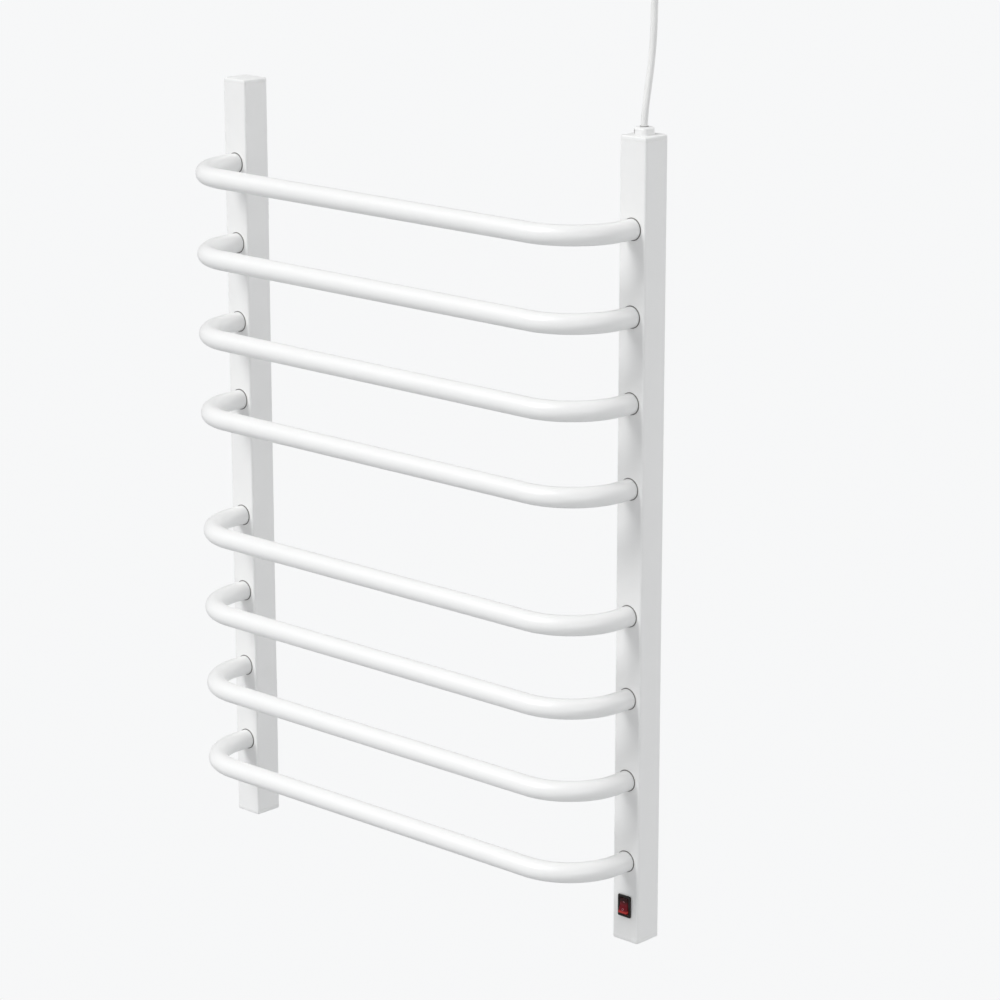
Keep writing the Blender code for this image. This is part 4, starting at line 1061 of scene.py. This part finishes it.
class RACK_OT_insides(RackOperator, bpy.types.Operator):
    """Gives the inner parts their finishes: cable, wires, terminals, lamp, fuse and earth fixing"""

    bl_idname = "rack.insides"
    bl_label = "Inner parts"

    def execute(self, context):
        looks = {
            "heating_cable": wire_coat("silicone_red", (0.35, 0.06, 0.04)),
            "inner_lead": finish_of("white_cord"),
            "wire_live": wire_coat("wire_brown", (0.16, 0.07, 0.03)),
            "wire_heater": wire_coat("wire_brown", (0.16, 0.07, 0.03)),
            "wire_neutral": wire_coat("wire_blue", (0.03, 0.14, 0.50)),
            "wire_earth": wire_coat("wire_green", (0.30, 0.55, 0.05)),
            "terminal_block": wire_coat("block_cream", (0.78, 0.74, 0.62)),
            "thermal_fuse": brass(),
            "earth_lug": brass(),
            "earth_screw": zinc(),
            "switch_contact": finish_of("nickel"),
            "switch_terminal_neutral": finish_of("nickel"),
            "switch_terminal_live": finish_of("nickel"),
            "switch_terminal_heater": finish_of("nickel"),
            "switch_lamp": self.lamp(),
        }
        for node, look in looks.items():
            mesh = frame["nodes"][node].data
            mesh.materials.clear()
            mesh.materials.append(look)
        return {"FINISHED"}

    def lamp(self):
        made = wire_coat("lamp_glow", (0.9, 0.4, 0.2))
        shader = made.node_tree.nodes["Principled BSDF"]
        shader.inputs["Emission Color"].default_value = (1.0, 0.35, 0.12, 1.0)
        shader.inputs["Emission Strength"].default_value = 2.0
        return made


class RACK_OT_stage(RackOperator, bpy.types.Operator):
    """Sets the camera, the soft lights, the even surroundings and the plain floor"""

    bl_idname = "rack.stage"
    bl_label = "Stage"

    def execute(self, context):
        scene, stage = context.scene, context.scene.rack_stage
        camera = bpy.data.objects.new("camera", bpy.data.cameras.new("camera"))
        scene.collection.objects.link(camera)
        camera.data.sensor_width = 36.0
        camera.data.lens = stage.lens
        camera.data.clip_end = 100.0
        camera.location = stage.place
        camera.rotation_mode = "QUATERNION"
        a, e = stage.azimuth, stage.elevation
        back = Vector((math.sin(a) * math.cos(e), -math.cos(a) * math.cos(e), math.sin(e)))
        camera.rotation_quaternion = (-back).to_track_quat("-Z", "Y")
        scene.camera = camera
        scene.view_settings.view_transform = "Standard"

        lights = (
            ("key_light", stage.key, (-0.5, -1.0, 1.15), 28.0),
            ("fill_light", stage.fill, (1.2, -0.5, 0.25), 50.0),
            ("rear_light", stage.rear, (0.4, 1.2, 0.6), 45.0),
        )
        for name, strength, origin, spread in lights:
            light = bpy.data.lights.new(name, "SUN")
            light.energy = strength
            light.angle = math.radians(spread)
            lamp = bpy.data.objects.new(name, light)
            lamp.rotation_mode = "QUATERNION"
            lamp.rotation_quaternion = Vector(origin).to_track_quat("Z", "Y")
            scene.collection.objects.link(lamp)
        self.make_surroundings(scene, stage)
        self.make_floor(scene, stage)
        return {"FINISHED"}

    def make_surroundings(self, scene, stage):
        """Even pale light from all round; the view past the rack shows the backdrop's own colour."""
        world = bpy.data.worlds.new("surroundings")
        world.use_nodes = True
        scene.world = world
        tree = world.node_tree
        tree.nodes.clear()
        seen = new_node(tree, "ShaderNodeBackground", Color=(*stage.backdrop, 1.0), Strength=1.0)
        even = new_node(tree, "ShaderNodeBackground", Color=(0.98, 0.99, 1.0, 1.0), Strength=stage.sky)
        ray = tree.nodes.new("ShaderNodeLightPath")
        either = tree.nodes.new("ShaderNodeMixShader")
        output = tree.nodes.new("ShaderNodeOutputWorld")
        tree.links.new(ray.outputs["Is Camera Ray"], either.inputs[0])
        tree.links.new(even.outputs["Background"], either.inputs[1])
        tree.links.new(seen.outputs["Background"], either.inputs[2])
        tree.links.new(either.outputs["Shader"], output.inputs["Surface"])

    def make_floor(self, scene, stage):
        """A very wide, thin disc: turned profile of two levels."""
        disc = lathe([(40.0, -0.02), (40.0, 0.0)], 96)
        floor = bpy.data.objects.new("floor", mesh_of("floor", [shell(disc, at(0.0, 0.0, -stage.floor))]))
        scene.collection.objects.link(floor)
        tint = (0.50, 0.505, 0.51)
        values = {"Grain Scale": 60.0, "Grain Height": 0.0, "Rough Low": 0.8, "Rough High": 0.9}
        paper = finish("floor_paper", "Moulded Grain", tint, tint, values)
        tree = paper.node_tree
        seen = new_node(tree, "ShaderNodeEmission", Color=(*stage.backdrop, 1.0))
        ray = tree.nodes.new("ShaderNodeLightPath")
        either = tree.nodes.new("ShaderNodeMixShader")
        tree.links.new(ray.outputs["Is Camera Ray"], either.inputs[0])
        tree.links.new(tree.nodes["Principled BSDF"].outputs["BSDF"], either.inputs[1])
        tree.links.new(seen.outputs["Emission"], either.inputs[2])
        tree.links.new(either.outputs["Shader"], tree.nodes["Material Output"].inputs["Surface"])
        floor.data.materials.append(paper)


# --------------------------------------------------------------------------- panel and registration

BUILD_ORDER = (
    RACK_OT_stage,
    RACK_OT_gland,
    RACK_OT_plug,
    RACK_OT_lead,
    RACK_OT_hook,
    RACK_OT_columns,
    RACK_OT_caps,
    RACK_OT_bars,
    RACK_OT_seals,
    RACK_OT_brackets,
    RACK_OT_switch,
    RACK_OT_insides,
)
SETTINGS = {
    "rack_shape": RackShape,
    "rack_lead": RackLead,
    "rack_colours": RackColours,
    "rack_stage": RackStage,
}


class RACK_PT_looks(bpy.types.Panel):
    """Lists the settings and the build steps"""

    bl_label = "Towel Warmer Rack"
    bl_space_type = "VIEW_3D"
    bl_region_type = "UI"
    bl_category = "Rack"

    def draw(self, context):
        for attribute, group in SETTINGS.items():
            box = self.layout.box()
            for name in group.__annotations__:
                box.prop(getattr(context.scene, attribute), name)
        for step in BUILD_ORDER:
            self.layout.operator(step.bl_idname)


CLASSES = (*SETTINGS.values(), *BUILD_ORDER, RACK_PT_looks)


def register():
    for item in CLASSES:
        bpy.utils.register_class(item)
    for attribute, group in SETTINGS.items():
        setattr(bpy.types.Scene, attribute, bpy.props.PointerProperty(type=group))


def unregister():
    for attribute in SETTINGS:
        delattr(bpy.types.Scene, attribute)
    for item in reversed(CLASSES):
        bpy.utils.unregister_class(item)


def main():
    register()
    for step in BUILD_ORDER:
        category, name = step.bl_idname.split(".")
        getattr(getattr(bpy.ops, category), name)()


if __name__ == "__main__":
    main()
